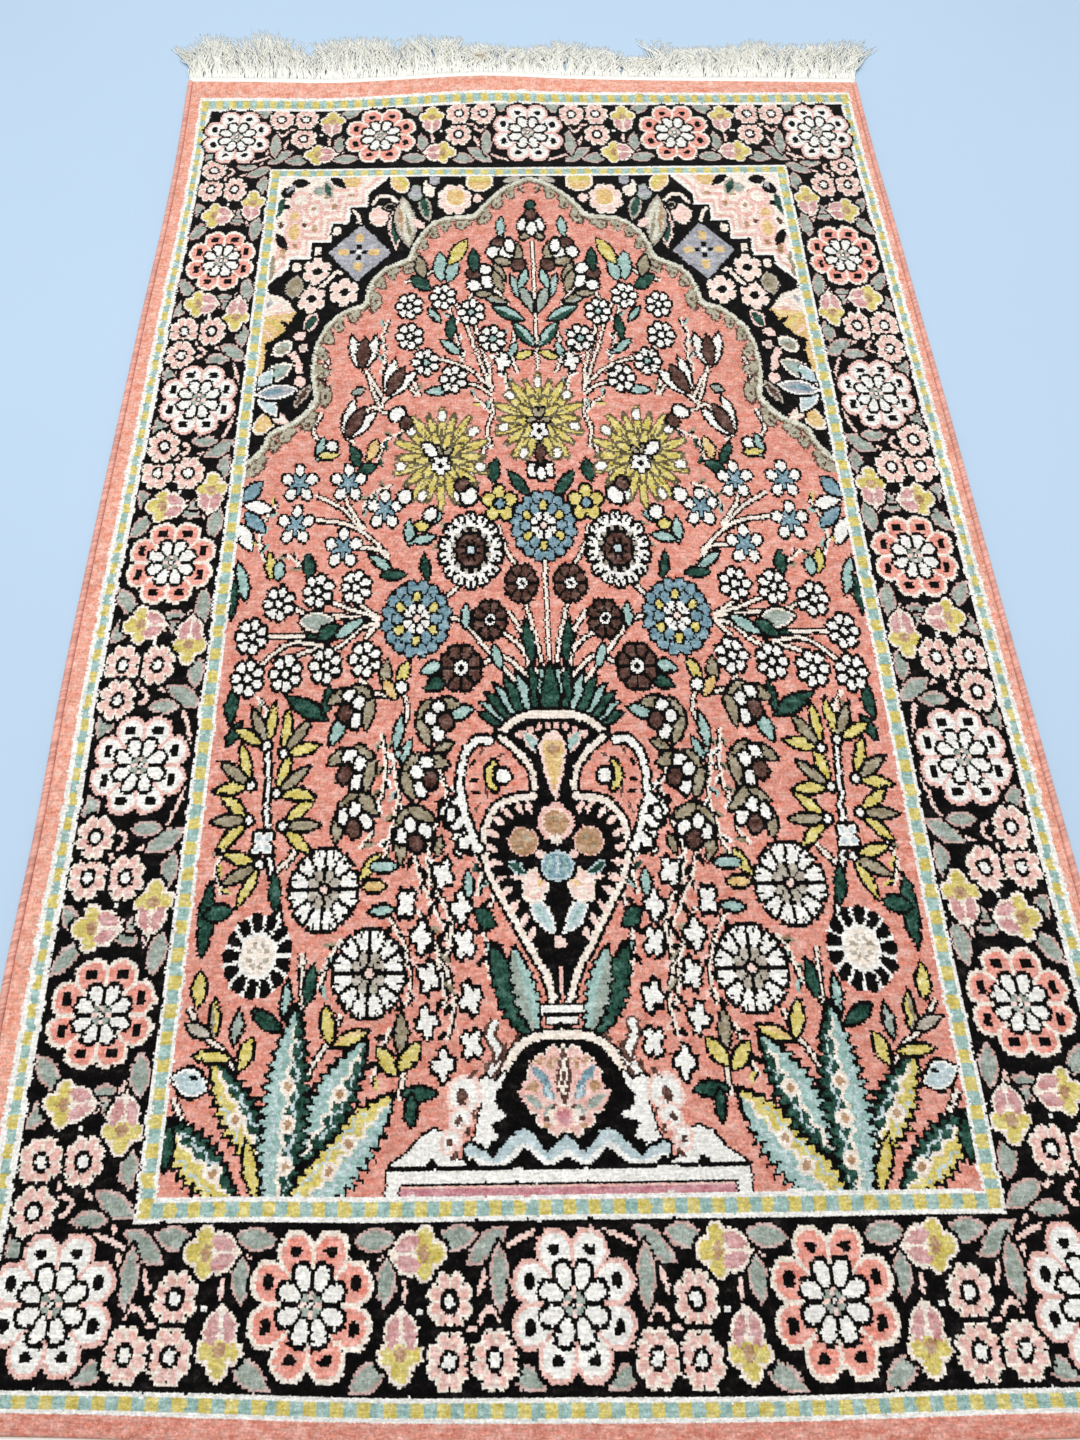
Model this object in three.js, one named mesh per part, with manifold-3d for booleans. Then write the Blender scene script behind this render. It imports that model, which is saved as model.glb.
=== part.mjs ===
// A hand-knotted silk rug lying flat on a floor, in millimetres, +Z up.
// The knotted pile is one slab. Each long side has an overcast cord, and each end has a
// flat-woven band whose loose warp ends are the fringe. Pieces that touch are parted by a hair.
import * as THREE from "three";
import { mergeVertices } from "three/addons/utils/BufferGeometryUtils.js";
import Module from "manifold-3d";

// Driving sizes
const PILE_THICKNESS = 5;
const PILE_EDGE_ROUND = 0.8;
const CORD_WIDTH = 6;
const CORD_THICKNESS = 5.6;
const END_BAND_WIDTH = 11;
const END_BAND_THICKNESS = 1.6;
const PARTING = 0.3;

const STRANDS_PER_END = 140;
const STRAND_ROOT_IN_BAND = 2;
const STRAND_WIDTH = { root: 4.6, tip: 2.2 };
const STRAND_HEIGHT = { root: 1.5, middle: 2.1, tip: 0.8 };
const STRAND_STEPS = 4;
// A strand leaves its band straight and bends more towards its tip.
const STRAND_BEND = 1.6;
const STRAND_SWAY = 0.4;
// The sway grows from none at the root to its full size after this share of the strand.
const STRAND_SWAY_FULL = 0.25;
const SHORTEST_SHARE = 0.82;

// Steps along every edge, alike on neighbours so that their parting stays even
const EDGE_STEPS = 32;

// The cloth's outer edges, cords included. "along" runs from the near end at 0 to the far end
// at 1, and "across" from the left side at 0 to the right side at 1. The hand-woven cloth is a
// little wider near its near end, and its far end has one low hump left of the middle.
const SIDE_EDGES = [
  { along: 0.0, left: -394.0, right: 388.0 },
  { along: 0.11, left: -396.5, right: 389.0 },
  { along: 0.21, left: -398.4, right: 389.8 },
  { along: 0.3, left: -396.8, right: 389.3 },
  { along: 0.39, left: -398.6, right: 388.3 },
  { along: 0.5, left: -397.3, right: 387.3 },
  { along: 0.62, left: -394.8, right: 387.0 },
  { along: 0.72, left: -392.6, right: 385.3 },
  { along: 0.81, left: -389.2, right: 384.6 },
  { along: 0.9, left: -388.4, right: 382.8 },
  { along: 1.0, left: -391.5, right: 383.6 },
];
const END_EDGES = [
  { across: 0.0, near: -639.5, far: 677.5 },
  { across: 0.12, near: -642.0, far: 675.0 },
  { across: 0.22, near: -645.5, far: 672.0 },
  { across: 0.32, near: -648.5, far: 677.5 },
  { across: 0.44, near: -650.5, far: 684.0 },
  { across: 0.57, near: -651.5, far: 676.5 },
  { across: 0.7, near: -651.0, far: 671.8 },
  { across: 0.84, near: -649.0, far: 668.8 },
  { across: 1.0, near: -647.0, far: 665.0 },
];

// How far the fringe reaches past its band, and how far its tips lean to the right.
const FAR_FRINGE = [
  { across: 0.0, reach: 66, lean: -14 },
  { across: 0.04, reach: 94, lean: -24 },
  { across: 0.08, reach: 84, lean: -22 },
  { across: 0.115, reach: 104, lean: -20 },
  { across: 0.17, reach: 68, lean: -14 },
  { across: 0.25, reach: 90, lean: -10 },
  { across: 0.32, reach: 74, lean: -5 },
  { across: 0.39, reach: 80, lean: -3 },
  { across: 0.49, reach: 58, lean: 0 },
  { across: 0.58, reach: 74, lean: 4 },
  { across: 0.66, reach: 50, lean: 4 },
  { across: 0.71, reach: 72, lean: 8 },
  { across: 0.8, reach: 66, lean: 10 },
  { across: 0.87, reach: 76, lean: 13 },
  { across: 0.92, reach: 60, lean: 15 },
  { across: 0.97, reach: 76, lean: 20 },
  { across: 1.0, reach: 70, lean: 27 },
];
const NEAR_FRINGE = [
  { across: 0.0, reach: 62, lean: -9 },
  { across: 0.2, reach: 72, lean: -6 },
  { across: 0.4, reach: 66, lean: -2 },
  { across: 0.6, reach: 73, lean: 2 },
  { across: 0.8, reach: 65, lean: 5 },
  { across: 1.0, reach: 70, lean: 9 },
];

// A smooth function through one column of a table.
function throughTable(table, place, column) {
  const places = table.map((row) => row[place]);
  const values = table.map((row) => row[column]);
  const curve = new THREE.CubicInterpolant(places, values, 1);
  return (at) => curve.evaluate(at)[0];
}

const leftEdge = throughTable(SIDE_EDGES, "along", "left");
const rightEdge = throughTable(SIDE_EDGES, "along", "right");
const nearEdge = throughTable(END_EDGES, "across", "near");
const farEdge = throughTable(END_EDGES, "across", "far");

// A point of the cloth's plane. Lines across keep the bow of the nearer end, lines along that
// of the nearer side.
function onCloth(across, along) {
  const x = THREE.MathUtils.lerp(leftEdge(along), rightEdge(along), across);
  const y = THREE.MathUtils.lerp(nearEdge(across), farEdge(across), along);
  return new THREE.Vector2(x, y);
}

// The middle width turns a distance in from a side into a share of the width.
const MIDDLE_WIDTH = rightEdge(0.5) - leftEdge(0.5);
const CORD_SHARE = CORD_WIDTH / MIDDLE_WIDTH;
const PARTING_SHARE = PARTING / MIDDLE_WIDTH;

function steps(count) {
  return Array.from({ length: count + 1 }, (_, index) => index / count);
}

// The slab of pile, from one cord to the other and from one end band to the other.
function makePile() {
  const first = CORD_SHARE + PARTING_SHARE;
  const last = 1 - first;
  const outline = [];
  for (const share of steps(EDGE_STEPS)) {
    outline.push(onCloth(THREE.MathUtils.lerp(first, last, share), 0));
  }
  for (const share of steps(EDGE_STEPS).slice(1)) {
    outline.push(onCloth(last, share));
  }
  for (const share of steps(EDGE_STEPS).slice(1)) {
    outline.push(onCloth(THREE.MathUtils.lerp(last, first, share), 1));
  }
  for (const share of steps(EDGE_STEPS).slice(1, -1)) {
    outline.push(onCloth(first, 1 - share));
  }
  const slab = new THREE.ExtrudeGeometry(new THREE.Shape(outline), {
    depth: PILE_THICKNESS - 2 * PILE_EDGE_ROUND,
    bevelThickness: PILE_EDGE_ROUND,
    bevelSize: PILE_EDGE_ROUND,
    bevelOffset: -PILE_EDGE_ROUND,
    bevelSegments: 2,
  });
  slab.translate(0, 0, PILE_EDGE_ROUND);
  return slab;
}

// A closed skin over a row of rings with equal numbers of points. Each ring turns
// anticlockwise when it is seen from the next one.
function skinOver(rings) {
  const positions = rings.flat().flatMap((point) => [point.x, point.y, point.z]);
  const around = rings[0].length;
  const faces = [];
  for (let ring = 0; ring + 1 < rings.length; ring += 1) {
    for (let corner = 0; corner < around; corner += 1) {
      const here = ring * around + corner;
      const beside = ring * around + ((corner + 1) % around);
      faces.push(here, beside, here + around);
      faces.push(beside, beside + around, here + around);
    }
  }
  const end = (rings.length - 1) * around;
  for (let corner = 1; corner + 1 < around; corner += 1) {
    faces.push(0, corner + 1, corner);
    faces.push(end, end + corner, end + corner + 1);
  }
  const skin = new THREE.BufferGeometry();
  skin.setAttribute("position", new THREE.Float32BufferAttribute(positions, 3));
  skin.setIndex(faces);
  return skin;
}

// The section of an overcast cord: flat where it lies on the floor, round above.
const CORD_SECTION = [
  { out: -0.32, up: 0 },
  { out: 0.32, up: 0 },
  { out: 0.5, up: 0.26 },
  { out: 0.5, up: 0.58 },
  { out: 0.33, up: 0.9 },
  { out: 0, up: 1 },
  { out: -0.33, up: 0.9 },
  { out: -0.5, up: 0.58 },
  { out: -0.5, up: 0.26 },
];

function makeCord(across) {
  const rings = steps(EDGE_STEPS).map((along) =>
    CORD_SECTION.map(({ out, up }) => {
      const point = onCloth(across + out * CORD_SHARE, along);
      return new THREE.Vector3(point.x, point.y, up * CORD_THICKNESS);
    }),
  );
  // The rings run along +Y, so their points are put the other way round.
  return skinOver(rings.map((ring) => ring.slice().reverse()));
}

const wasm = await Module();
wasm.setup();

// Points closer than this, in millimetres, are one point of a solid.
const SAME_POINT = 1e-4;

function toSolid(geometry) {
  const bare = geometry.clone();
  bare.deleteAttribute("normal");
  bare.deleteAttribute("uv");
  const merged = mergeVertices(bare, SAME_POINT);
  return new wasm.Manifold(
    new wasm.Mesh({
      numProp: 3,
      vertProperties: merged.attributes.position.array,
      triVerts: Uint32Array.from(merged.index.array),
    }),
  );
}

function toGeometry(solid) {
  const mesh = solid.getMesh();
  const geometry = new THREE.BufferGeometry();
  geometry.setAttribute("position", new THREE.BufferAttribute(mesh.vertProperties, 3));
  geometry.setIndex(new THREE.BufferAttribute(mesh.triVerts, 1));
  return geometry;
}

// An end of the cloth: its place along, the way it faces along Y, and its fringe's table.
const FAR_END = { along: 1, facing: 1, fringe: FAR_FRINGE };
const NEAR_END = { along: 0, facing: -1, fringe: NEAR_FRINGE };

function makeEndBand({ along, facing }) {
  const inner = steps(EDGE_STEPS).map((across) => {
    const point = onCloth(across, along);
    return new THREE.Vector2(point.x, point.y + facing * PARTING);
  });
  const outer = inner.map(
    (point) => new THREE.Vector2(point.x, point.y + facing * END_BAND_WIDTH),
  );
  return new THREE.ExtrudeGeometry(new THREE.Shape([...inner, ...outer.reverse()]), {
    depth: END_BAND_THICKNESS,
    bevelEnabled: false,
  });
}

// A share from 0 to 1 that looks random and is the same for a strand each time: what is left
// after the point of a long, fast wave.
const SCATTER = { perStrand: 12.9898, perUse: 78.233, height: 43758.5453 };
function strandShare(index, use) {
  const wave = SCATTER.height * Math.sin(index * SCATTER.perStrand + use * SCATTER.perUse);
  return wave - Math.floor(wave);
}

// One lock of warp ends: three-sided, flat on the floor, thinner to its tip, and swaying a
// little. Its root lies inside the band.
function makeStrand(end, index) {
  const across = (index + 0.5) / STRANDS_PER_END;
  const reach = throughTable(end.fringe, "across", "reach")(across);
  const lean = throughTable(end.fringe, "across", "lean")(across);
  const length = reach * THREE.MathUtils.lerp(SHORTEST_SHARE, 1, strandShare(index, 1));
  const root = onCloth(across, end.along);
  const rootY = root.y + end.facing * (END_BAND_WIDTH - STRAND_ROOT_IN_BAND);
  const turn = strandShare(index, 2) * Math.PI;
  const rings = steps(STRAND_STEPS).map((share) => {
    const leaning = (lean * length * share ** STRAND_BEND) / reach;
    const easing = Math.min(1, share / STRAND_SWAY_FULL);
    const sway = STRAND_SWAY * easing * Math.sin(turn + share * Math.PI * 2);
    const half = THREE.MathUtils.lerp(STRAND_WIDTH.root, STRAND_WIDTH.tip, share) / 2;
    const swell = Math.sin(share * Math.PI);
    const height =
      THREE.MathUtils.lerp(STRAND_HEIGHT.root, STRAND_HEIGHT.tip, share) +
      swell * (STRAND_HEIGHT.middle - STRAND_HEIGHT.root);
    const x = root.x + leaning + sway;
    const y = rootY + end.facing * (STRAND_ROOT_IN_BAND + length) * share;
    const ring = [
      new THREE.Vector3(x - half, y, 0),
      new THREE.Vector3(x + half, y, 0),
      new THREE.Vector3(x, y, height),
    ];
    return end.facing > 0 ? ring.reverse() : ring;
  });
  return skinOver(rings);
}

function makeFringe(end) {
  let solid = toSolid(makeEndBand(end));
  for (let index = 0; index < STRANDS_PER_END; index += 1) {
    solid = solid.add(toSolid(makeStrand(end, index)));
  }
  return toGeometry(solid);
}

// The slots: dyed silk pile, the overcast cords, and the undyed warp of the fringe
const SILK_PILE = new THREE.MeshStandardMaterial({ color: 0xd98f7f, roughness: 0.5 });
const SILK_CORD = new THREE.MeshStandardMaterial({ color: 0xe0947f, roughness: 0.55 });
const SILK_WARP = new THREE.MeshStandardMaterial({ color: 0xf1ead8, roughness: 0.5 });

function piece(name, geometry, material) {
  const mesh = new THREE.Mesh(geometry, material);
  mesh.name = name;
  return mesh;
}

const rug = new THREE.Group();
rug.add(piece("pile", makePile(), SILK_PILE));
rug.add(piece("side_cord_left", makeCord(CORD_SHARE / 2), SILK_CORD));
rug.add(piece("side_cord_right", makeCord(1 - CORD_SHARE / 2), SILK_CORD));
rug.add(piece("fringe_far", makeFringe(FAR_END), SILK_WARP));
rug.add(piece("fringe_near", makeFringe(NEAR_END), SILK_WARP));

// The origin is under the middle of the whole rug.
const middle = new THREE.Box3().setFromObject(rug).getCenter(new THREE.Vector3());
rug.position.set(-middle.x, -middle.y, 0);

export default rug;
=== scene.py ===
import math
import bpy
import numpy as np
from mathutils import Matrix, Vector


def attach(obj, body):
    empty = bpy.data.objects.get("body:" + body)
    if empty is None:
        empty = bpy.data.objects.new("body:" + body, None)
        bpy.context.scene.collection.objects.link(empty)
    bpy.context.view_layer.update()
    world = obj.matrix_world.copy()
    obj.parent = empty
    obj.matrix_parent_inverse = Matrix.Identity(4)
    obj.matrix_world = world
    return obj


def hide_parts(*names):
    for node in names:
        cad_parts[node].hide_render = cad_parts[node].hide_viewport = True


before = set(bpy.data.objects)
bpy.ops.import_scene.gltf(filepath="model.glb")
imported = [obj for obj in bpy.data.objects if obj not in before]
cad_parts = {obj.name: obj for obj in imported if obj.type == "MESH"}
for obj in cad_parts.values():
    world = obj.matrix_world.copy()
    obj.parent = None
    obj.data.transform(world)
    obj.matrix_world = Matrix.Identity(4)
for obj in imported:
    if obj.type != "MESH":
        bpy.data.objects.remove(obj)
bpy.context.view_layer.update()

# Camera: the photograph's, in front of the near end and looking down along the rug. The flat
# plan that the sizes below are read from has its origin at the middle of the inner guard.
PLAN_TO_FRAME = Vector((-0.001414, -0.024357, 0.0))
camera = bpy.data.objects.new("camera", bpy.data.cameras.new("camera"))
bpy.context.scene.collection.objects.link(camera)
camera.location = Vector((-0.048981, -0.564303, 0.772545)) + PLAN_TO_FRAME
camera.rotation_euler = [math.radians(angle) for angle in (27.596, 0.085, -0.62)]
camera.data.sensor_width = 36
camera.data.lens = 27.05
camera.data.shift_x = 0.0322
camera.data.clip_start = 0.01
bpy.context.scene.camera = camera

# Pile: knotted silk, one closed slab between the cords and the end bands. Its design is drawn
# first, as a chart with one dye for each knot, by functions that draw petals, leaves and stems.
# The left half is drawn, and the right half mirrors it.
# Peach is salmon made lighter as painted sheen, for the side and far margins.
DYES = {
    "salmon": (0.71, 0.305, 0.235), "black": (0.0016, 0.0011, 0.0010), "white": (0.86, 0.84, 0.79),
    "cream": (0.86, 0.76, 0.66), "blush": (0.86, 0.62, 0.55), "coral": (0.80, 0.34, 0.27),
    "rose": (0.79, 0.49, 0.43), "mustard": (0.66, 0.55, 0.17), "amber": (0.72, 0.50, 0.22),
    "teal": (0.34, 0.50, 0.46), "blue": (0.19, 0.31, 0.365), "ice": (0.50, 0.60, 0.62),
    "green": (0.018, 0.064, 0.044), "khaki": (0.32, 0.27, 0.18), "brown": (0.098, 0.046, 0.034),
    "mauve": (0.58, 0.26, 0.29), "pink": (0.62, 0.34, 0.33), "lavender": (0.37, 0.37, 0.40),
    "tan": (0.46, 0.28, 0.16), "sage": (0.33, 0.38, 0.33), "grey": (0.46, 0.41, 0.34),
    "straw": (0.40, 0.37, 0.27), "stone": (0.66, 0.65, 0.54), "peach_painted_sheen": (0.83, 0.40, 0.30),
    "olive": (0.12, 0.095, 0.05), "dust": (0.60, 0.41, 0.37),
}
DYE = {name: index for index, name in enumerate(DYES)}

# Knots across from the middle line and up from the field's foot. The left margin is four
# knots wider than the right one. A margin lies outside a guard, a border and another guard.
FIELD_HALF, FIELD_TOP = 200, 578
GUARD, BORDER, MARGIN = 10, 60, 10
OUTER = FIELD_HALF + 2 * GUARD + BORDER
LEFT_EDGE, RIGHT_EDGE = OUTER + MARGIN, 286
FOOT, HEAD = -91, 669
chart = np.zeros((HEAD - FOOT, LEFT_EDGE), np.int8)
OUTLINE, ROOM = 1.8, 3


def rows(text):
    """A table: the columns' names, then rows, which end at a line's end or a semicolon. A dash is
    None, and a row may leave out its last columns."""
    lines = [line.split() for line in text.strip().replace(";", "\n").splitlines()]
    head, *body = [line for line in lines if line]

    def value(word):
        """A word of the table as text, None or a number."""
        return word if word[0].isalpha() else None if word == "-" else float(word)

    return [dict(zip(head, map(value, line))) for line in body]


def path(text):
    """A list of places, with a comma between them."""
    return [tuple(map(float, place.split())) for place in text.split(",")]


def near(x, y, reach):
    """The knots within reach of a place x knots left of the middle and y up from the foot, and
    how far right and up of it each lies."""
    ends = np.array([y - reach - FOOT, y + reach + 2 - FOOT, x - reach, x + reach + 2])
    ends = np.clip(ends, 0, [HEAD - FOOT, HEAD - FOOT, LEFT_EDGE, LEFT_EDGE]).astype(int)
    lines, columns = slice(*ends[:2]), slice(*ends[2:])
    up, left = np.mgrid[lines, columns].astype(float)
    return (lines, columns), x - left - 0.5, up + FOOT + 0.5 - y


def turned(right, up, degrees):
    """Distances along and across a direction: 0 points right and 90 up."""
    angle = math.radians(degrees)
    along = right * math.cos(angle) + up * math.sin(angle)
    return along, up * math.cos(angle) - right * math.sin(angle)


def step(x, y, along, across, degrees):
    """The place that lies so far along and across a direction from another."""
    angle = math.radians(degrees)
    right = along * math.cos(angle) - across * math.sin(angle)
    return x - right, y + along * math.sin(angle) + across * math.cos(angle)


def oval(along, across, long, wide, square=2.0):
    """Depth inside an oval: one less the length of (along / long, across / wide), times the
    shorter half, and no less than how far it ends past its tips. A square above 2 squares its
    corners."""
    far = (np.abs(along / long) ** square + np.abs(across / wide) ** square) ** (1 / square)
    return np.minimum((1 - far) * min(long, wide), long - np.abs(along))


def leaf(along, across, long, wide, teeth=0.0):
    """Depth inside a leaf with two points, whose half width falls with the square of the
    distance from its middle. Teeth of that length notch its edge."""
    half = wide * (1 - np.clip(np.abs(along) / long, 0, 2) ** 2)
    if teeth:
        half = half * (1 - 0.42 * np.abs((along / teeth) % 1 * 2 - 1)) + 0.8
    return np.minimum(half - np.abs(across), (long - np.abs(along)) * 0.7)


def drop(along, across, long, wide):
    """Depth inside a drop. Its half width grows with the root of the distance from its round
    back, and falls to nothing at its tip."""
    share = (along + long) / (2 * long)
    half = np.sqrt(np.clip(share * 4, 0, 1)) * np.clip(1.25 - share * 1.25, 0, 1) ** 0.7
    return np.minimum(half * wide - np.abs(across), long - np.abs(along))


SHAPES = {"oval": oval, "leaf": leaf, "drop": drop}


def dye(place, depth, least, name):
    """Dyes the knots that lie deeper than least."""
    chart[place][depth > least] = DYE[name]


def part(shape, x, y, long, wide, turn, colour, edge="black", rim=None, width=0, second=None, **more):
    """One petal, bud or leaf with an outline. A rim has a dye and a width. A second dye colours
    the half to the left of its direction."""
    place, right, up = near(x, y, max(long, wide) + ROOM)
    along, across = turned(right, up, turn)
    depth = SHAPES[shape](along, across, long, wide, **more)
    if edge:
        dye(place, depth, -OUTLINE, edge)
    dye(place, depth, 0, rim or colour)
    if rim:
        dye(place, depth, width, colour)
    if second:
        dye(place, np.where(across > 0, depth, -np.inf), width, second)


def draw(text):
    """A part for each row of a table, whose columns have the names that part gives them."""
    for row in rows(text):
        part(**row)


def dot(x, y, long, wide, colour, **more):
    """An oval with no outline."""
    part("oval", x, y, long, wide, 0, colour, edge=None, **more)


def ring(x, y, count, start, distance, long, wide, colour, square=2.0, edge="black", rim=None,
         width=0, flat=1.0, apart=None, thick=OUTLINE):
    """Petals round a centre. The angle round it is folded, so that one petal is drawn for all.
    Petals that meet are cut off that far from the line between them, but for their outline or
    rim. Flat squeezes the ring's height, and thick is the outline's width."""
    place, right, up = near(x, y, distance + long + ROOM)
    up = up / flat
    angle = (np.degrees(np.arctan2(up, right)) - start) % (360 / count) - 180 / count
    far = np.hypot(right, up)
    along, across = far * np.cos(np.radians(angle)), far * np.sin(np.radians(angle))
    depth = oval(along - distance, across, long, wide, square)
    to_next = far * np.sin(np.radians(180 / count - np.abs(angle)))
    if edge:
        dye(place, depth, -thick, edge)
    if rim:
        dye(place, depth, 0, rim)
        depth = depth - width
    if apart is not None:
        depth = np.minimum(depth, to_next - apart)
    dye(place, depth, 0, colour)


def smooth(points):
    """Places a knot apart on a curve through the points (Catmull and Rom's)."""
    p = np.array(points, float)
    p = np.vstack([2 * p[0] - p[1], p, 2 * p[-1] - p[-2]])
    pieces = []
    for a, b, c, d in zip(p[:-3], p[1:-2], p[2:-1], p[3:]):
        count = max(int(np.hypot(*(c - b))), 1)
        t = (np.arange(count) / count)[:, None]
        bend = (2 * a - 5 * b + 4 * c - d) * t**2 + (3 * b - a - 3 * c + d) * t**3
        pieces.append(0.5 * (2 * b + (c - a) * t + bend))
    return np.vstack(pieces + [p[-2:-1]])


def away(points, x, y):
    """How far places lie from the lines between the points."""
    far = np.full(x.shape, np.inf)
    for (ax, ay), (bx, by) in zip(points[:-1], points[1:]):
        square = max((bx - ax) ** 2 + (by - ay) ** 2, 1e-9)
        share = np.clip(((x - ax) * (bx - ax) + (y - ay) * (by - ay)) / square, 0, 1)
        far = np.minimum(far, np.hypot(x - ax - share * (bx - ax), y - ay - share * (by - ay)))
    return far


def around(points, reach):
    """The knots round a row of points, and where they lie."""
    low, high = np.min(points, 0), np.max(points, 0)
    middle = (low + high) / 2
    place, right, up = near(*middle, (high - low).max() / 2 + reach)
    return place, middle[0] - right, middle[1] + up


def line(points, half, colour, edge="black", curved=True):
    """A line of even width through points."""
    if curved:
        points = smooth(points)
    place, x, y = around(points, half + ROOM)
    depth = half - away(points, x, y)
    if edge:
        dye(place, depth, -OUTLINE, edge)
    dye(place, depth, 0, colour)


def stems(group):
    """Light lines, each between a black one below it and a thinner one above. The black ones
    are all drawn first, so that stems join where they meet."""
    curves = [smooth(points) for points in group]
    for curve in curves:
        ahead = np.gradient(curve, axis=0)
        side = np.stack([ahead[:, 1], -ahead[:, 0]], 1) / np.hypot(*ahead.T)[:, None]
        side = side * np.where(side[:, 1] > 0, -1, 1)[:, None]
        line(curve + 1.4 * side, 0.9, "black", None, curved=False)
        line(curve - 1.3 * side, 0.7, "black", None, curved=False)
    for curve in curves:
        line(curve, 0.9, "cream", None, curved=False)


def sprig(points, colours):
    """A thin light stem, dark on one side, with small leaves to its left and right by turns."""
    line([(x - 1.5, y) for x, y in points], 0.9, "black", None)
    line(points, 0.95, "cream", None)
    curve = smooth(points)
    ahead = np.degrees(np.arctan2(np.gradient(curve[:, 1]), -np.gradient(curve[:, 0])))
    for number, (place, turn) in enumerate(zip(curve[3::6], ahead[3::6])):
        side = 1 if number % 2 else -1
        colour = colours[number % len(colours)]
        place = step(*place, 2.0, 3.0 * side, turn)
        part("leaf", *place, 3.4, 1.5, turn + 40 * side, colour, None)
        part("leaf", *step(*place, 0, -1.4 * side, turn), 3.0, 0.8, turn + 40 * side, "black", None)


def inside(points, x, y):
    """Whether places lie inside an outline, by counting the edges beyond them."""
    hit = np.zeros(x.shape, bool)
    for (ax, ay), (bx, by) in zip(points, points[1:] + points[:1]):
        if ay != by:
            hit ^= ((ay > y) != (by > y)) & (x < (bx - ax) * (y - ay) / (by - ay) + ax)
    return hit


def fill(points, colour):
    """Dyes the knots inside an outline."""
    place, x, y = around(points, 2)
    chart[place][inside(points, x, y)] = DYE[colour]


def block(left, right, low, high, colour):
    """Dyes a rectangle, which reaches from right to left of the middle line."""
    chart[low - FOOT:high - FOOT, right:left] = DYE[colour]


# Flowers of the field, each named for what it shows
def floret(x, y, heart="white"):
    """Seven small white petals round a black eye with a light heart."""
    ring(x, y, 7, 0, 6.6, 2.7, 2.4, "white", 2.3, apart=0.85, thick=1.7)
    dot(x, y, 3.5, 3.5, "black")
    dot(x, y, 2.1, 1.9, heart)


def star(x, y):
    """Five white petals with blue ones between them, round a blue eye."""
    ring(x, y, 5, 54, 7.9, 4.0, 3.0, "white", 2.0, apart=0.7, thick=1.5)
    ring(x, y, 5, 18, 3.8, 2.9, 1.3, "blue", 1.9, thick=1.1)
    dot(x, y, 2.9, 2.8, "blue")
    dot(x - 0.5, y + 0.5, 1.0, 0.9, "ice")


def cross(x, y, turn):
    """Four small white petals."""
    ring(x, y, 4, turn, 2.5, 2.9, 1.9, "white", 2.6, flat=1.25, thick=1.5)


def aster(x, y):
    """Twelve white petals round a black disc with a grey flower on it."""
    ring(x, y, 12, 0, 14.2, 4.4, 3.6, "white", 3.0, apart=0.95)
    ring(x, y, 12, 0, 17.8, 2.3, 0.8, "black", edge=None)
    dot(x, y, 9.8, 9.8, "black")
    ring(x, y, 8, 0, 6.3, 2.9, 2.3, "grey", 2.2, edge=None, apart=0.6)
    part("oval", x, y, 2.4, 1.8, 0, "blush")


def black_rose(x, y):
    """Thirteen black petals on a white disc, round a cream heart."""
    dot(x, y, 18.5, 18.5, "white")
    ring(x, y, 13, 0, 14.2, 4.5, 3.4, "black", 3.4, edge=None, apart=0.8)
    dot(x, y, 10.2, 10.2, "white")
    dot(x, y, 8.6, 8.6, "cream")
    ring(x, y, 8, 0, 5.2, 1.6, 1.4, "grey", edge=None)


def brown_rose(x, y, size):
    """Eight brown petals round rings of black, white and black."""
    ring(x, y, 8, 0, 7.8 * size, 3.9 * size, 3.3 * size, "brown", 2.5, apart=0.75)
    dot(x, y, 5.4 * size, 5.4 * size, "black")
    dot(x, y, 3.9 * size, 3.7 * size, "white")
    dot(x, y, 2.1 * size, 2.0 * size, "black")


def blue_rose(x, y):
    """Two rings of blue petals, a few yellow ones, and a white flower on black."""
    ring(x, y, 16, 0, 17.2, 4.2, 3.4, "blue", 2.4, apart=0.45, thick=1.2)
    dot(x, y, 15.5, 15.5, "blue")
    ring(x, y, 12, 15, 11.8, 3.4, 2.7, "blue", 2.4, apart=0.5, thick=1.0)
    ring(x, y, 6, 0, 12.4, 2.5, 2.3, "mustard", 2.4, thick=1.2)
    dot(x, y, 8.6, 8.6, "black")
    ring(x, y, 8, 0, 6.0, 2.5, 2.2, "white", 2.4, edge=None, apart=0.55)
    dot(x, y, 3.2, 3.2, "black")
    dot(x, y, 2.2, 2.0, "blush")


def ring_rose(x, y):
    """White petals round a black ring of smaller ones and a brown disc."""
    ring(x, y, 14, 0, 16.2, 4.4, 3.4, "white", 2.6, flat=1.07, apart=1.3, thick=1.6)
    ring(x, y, 14, 0, 19.0, 3.0, 0.9, "black", edge=None, flat=1.07)
    dot(x, y, 13.2, 14.2, "black")
    ring(x, y, 14, 13, 13.4, 2.0, 1.0, "white", edge=None, flat=1.07)
    ring(x, y, 12, 0, 11.4, 2.0, 1.3, "grey", 2.2, edge=None, flat=1.07)
    part("oval", x, y, 8.6, 9.4, 0, "brown", edge="black")
    ring(x, y, 8, 0, 5.6, 1.8, 0.9, "black", edge=None)
    part("oval", x, y, 2.4, 2.5, 0, "ice")


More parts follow.
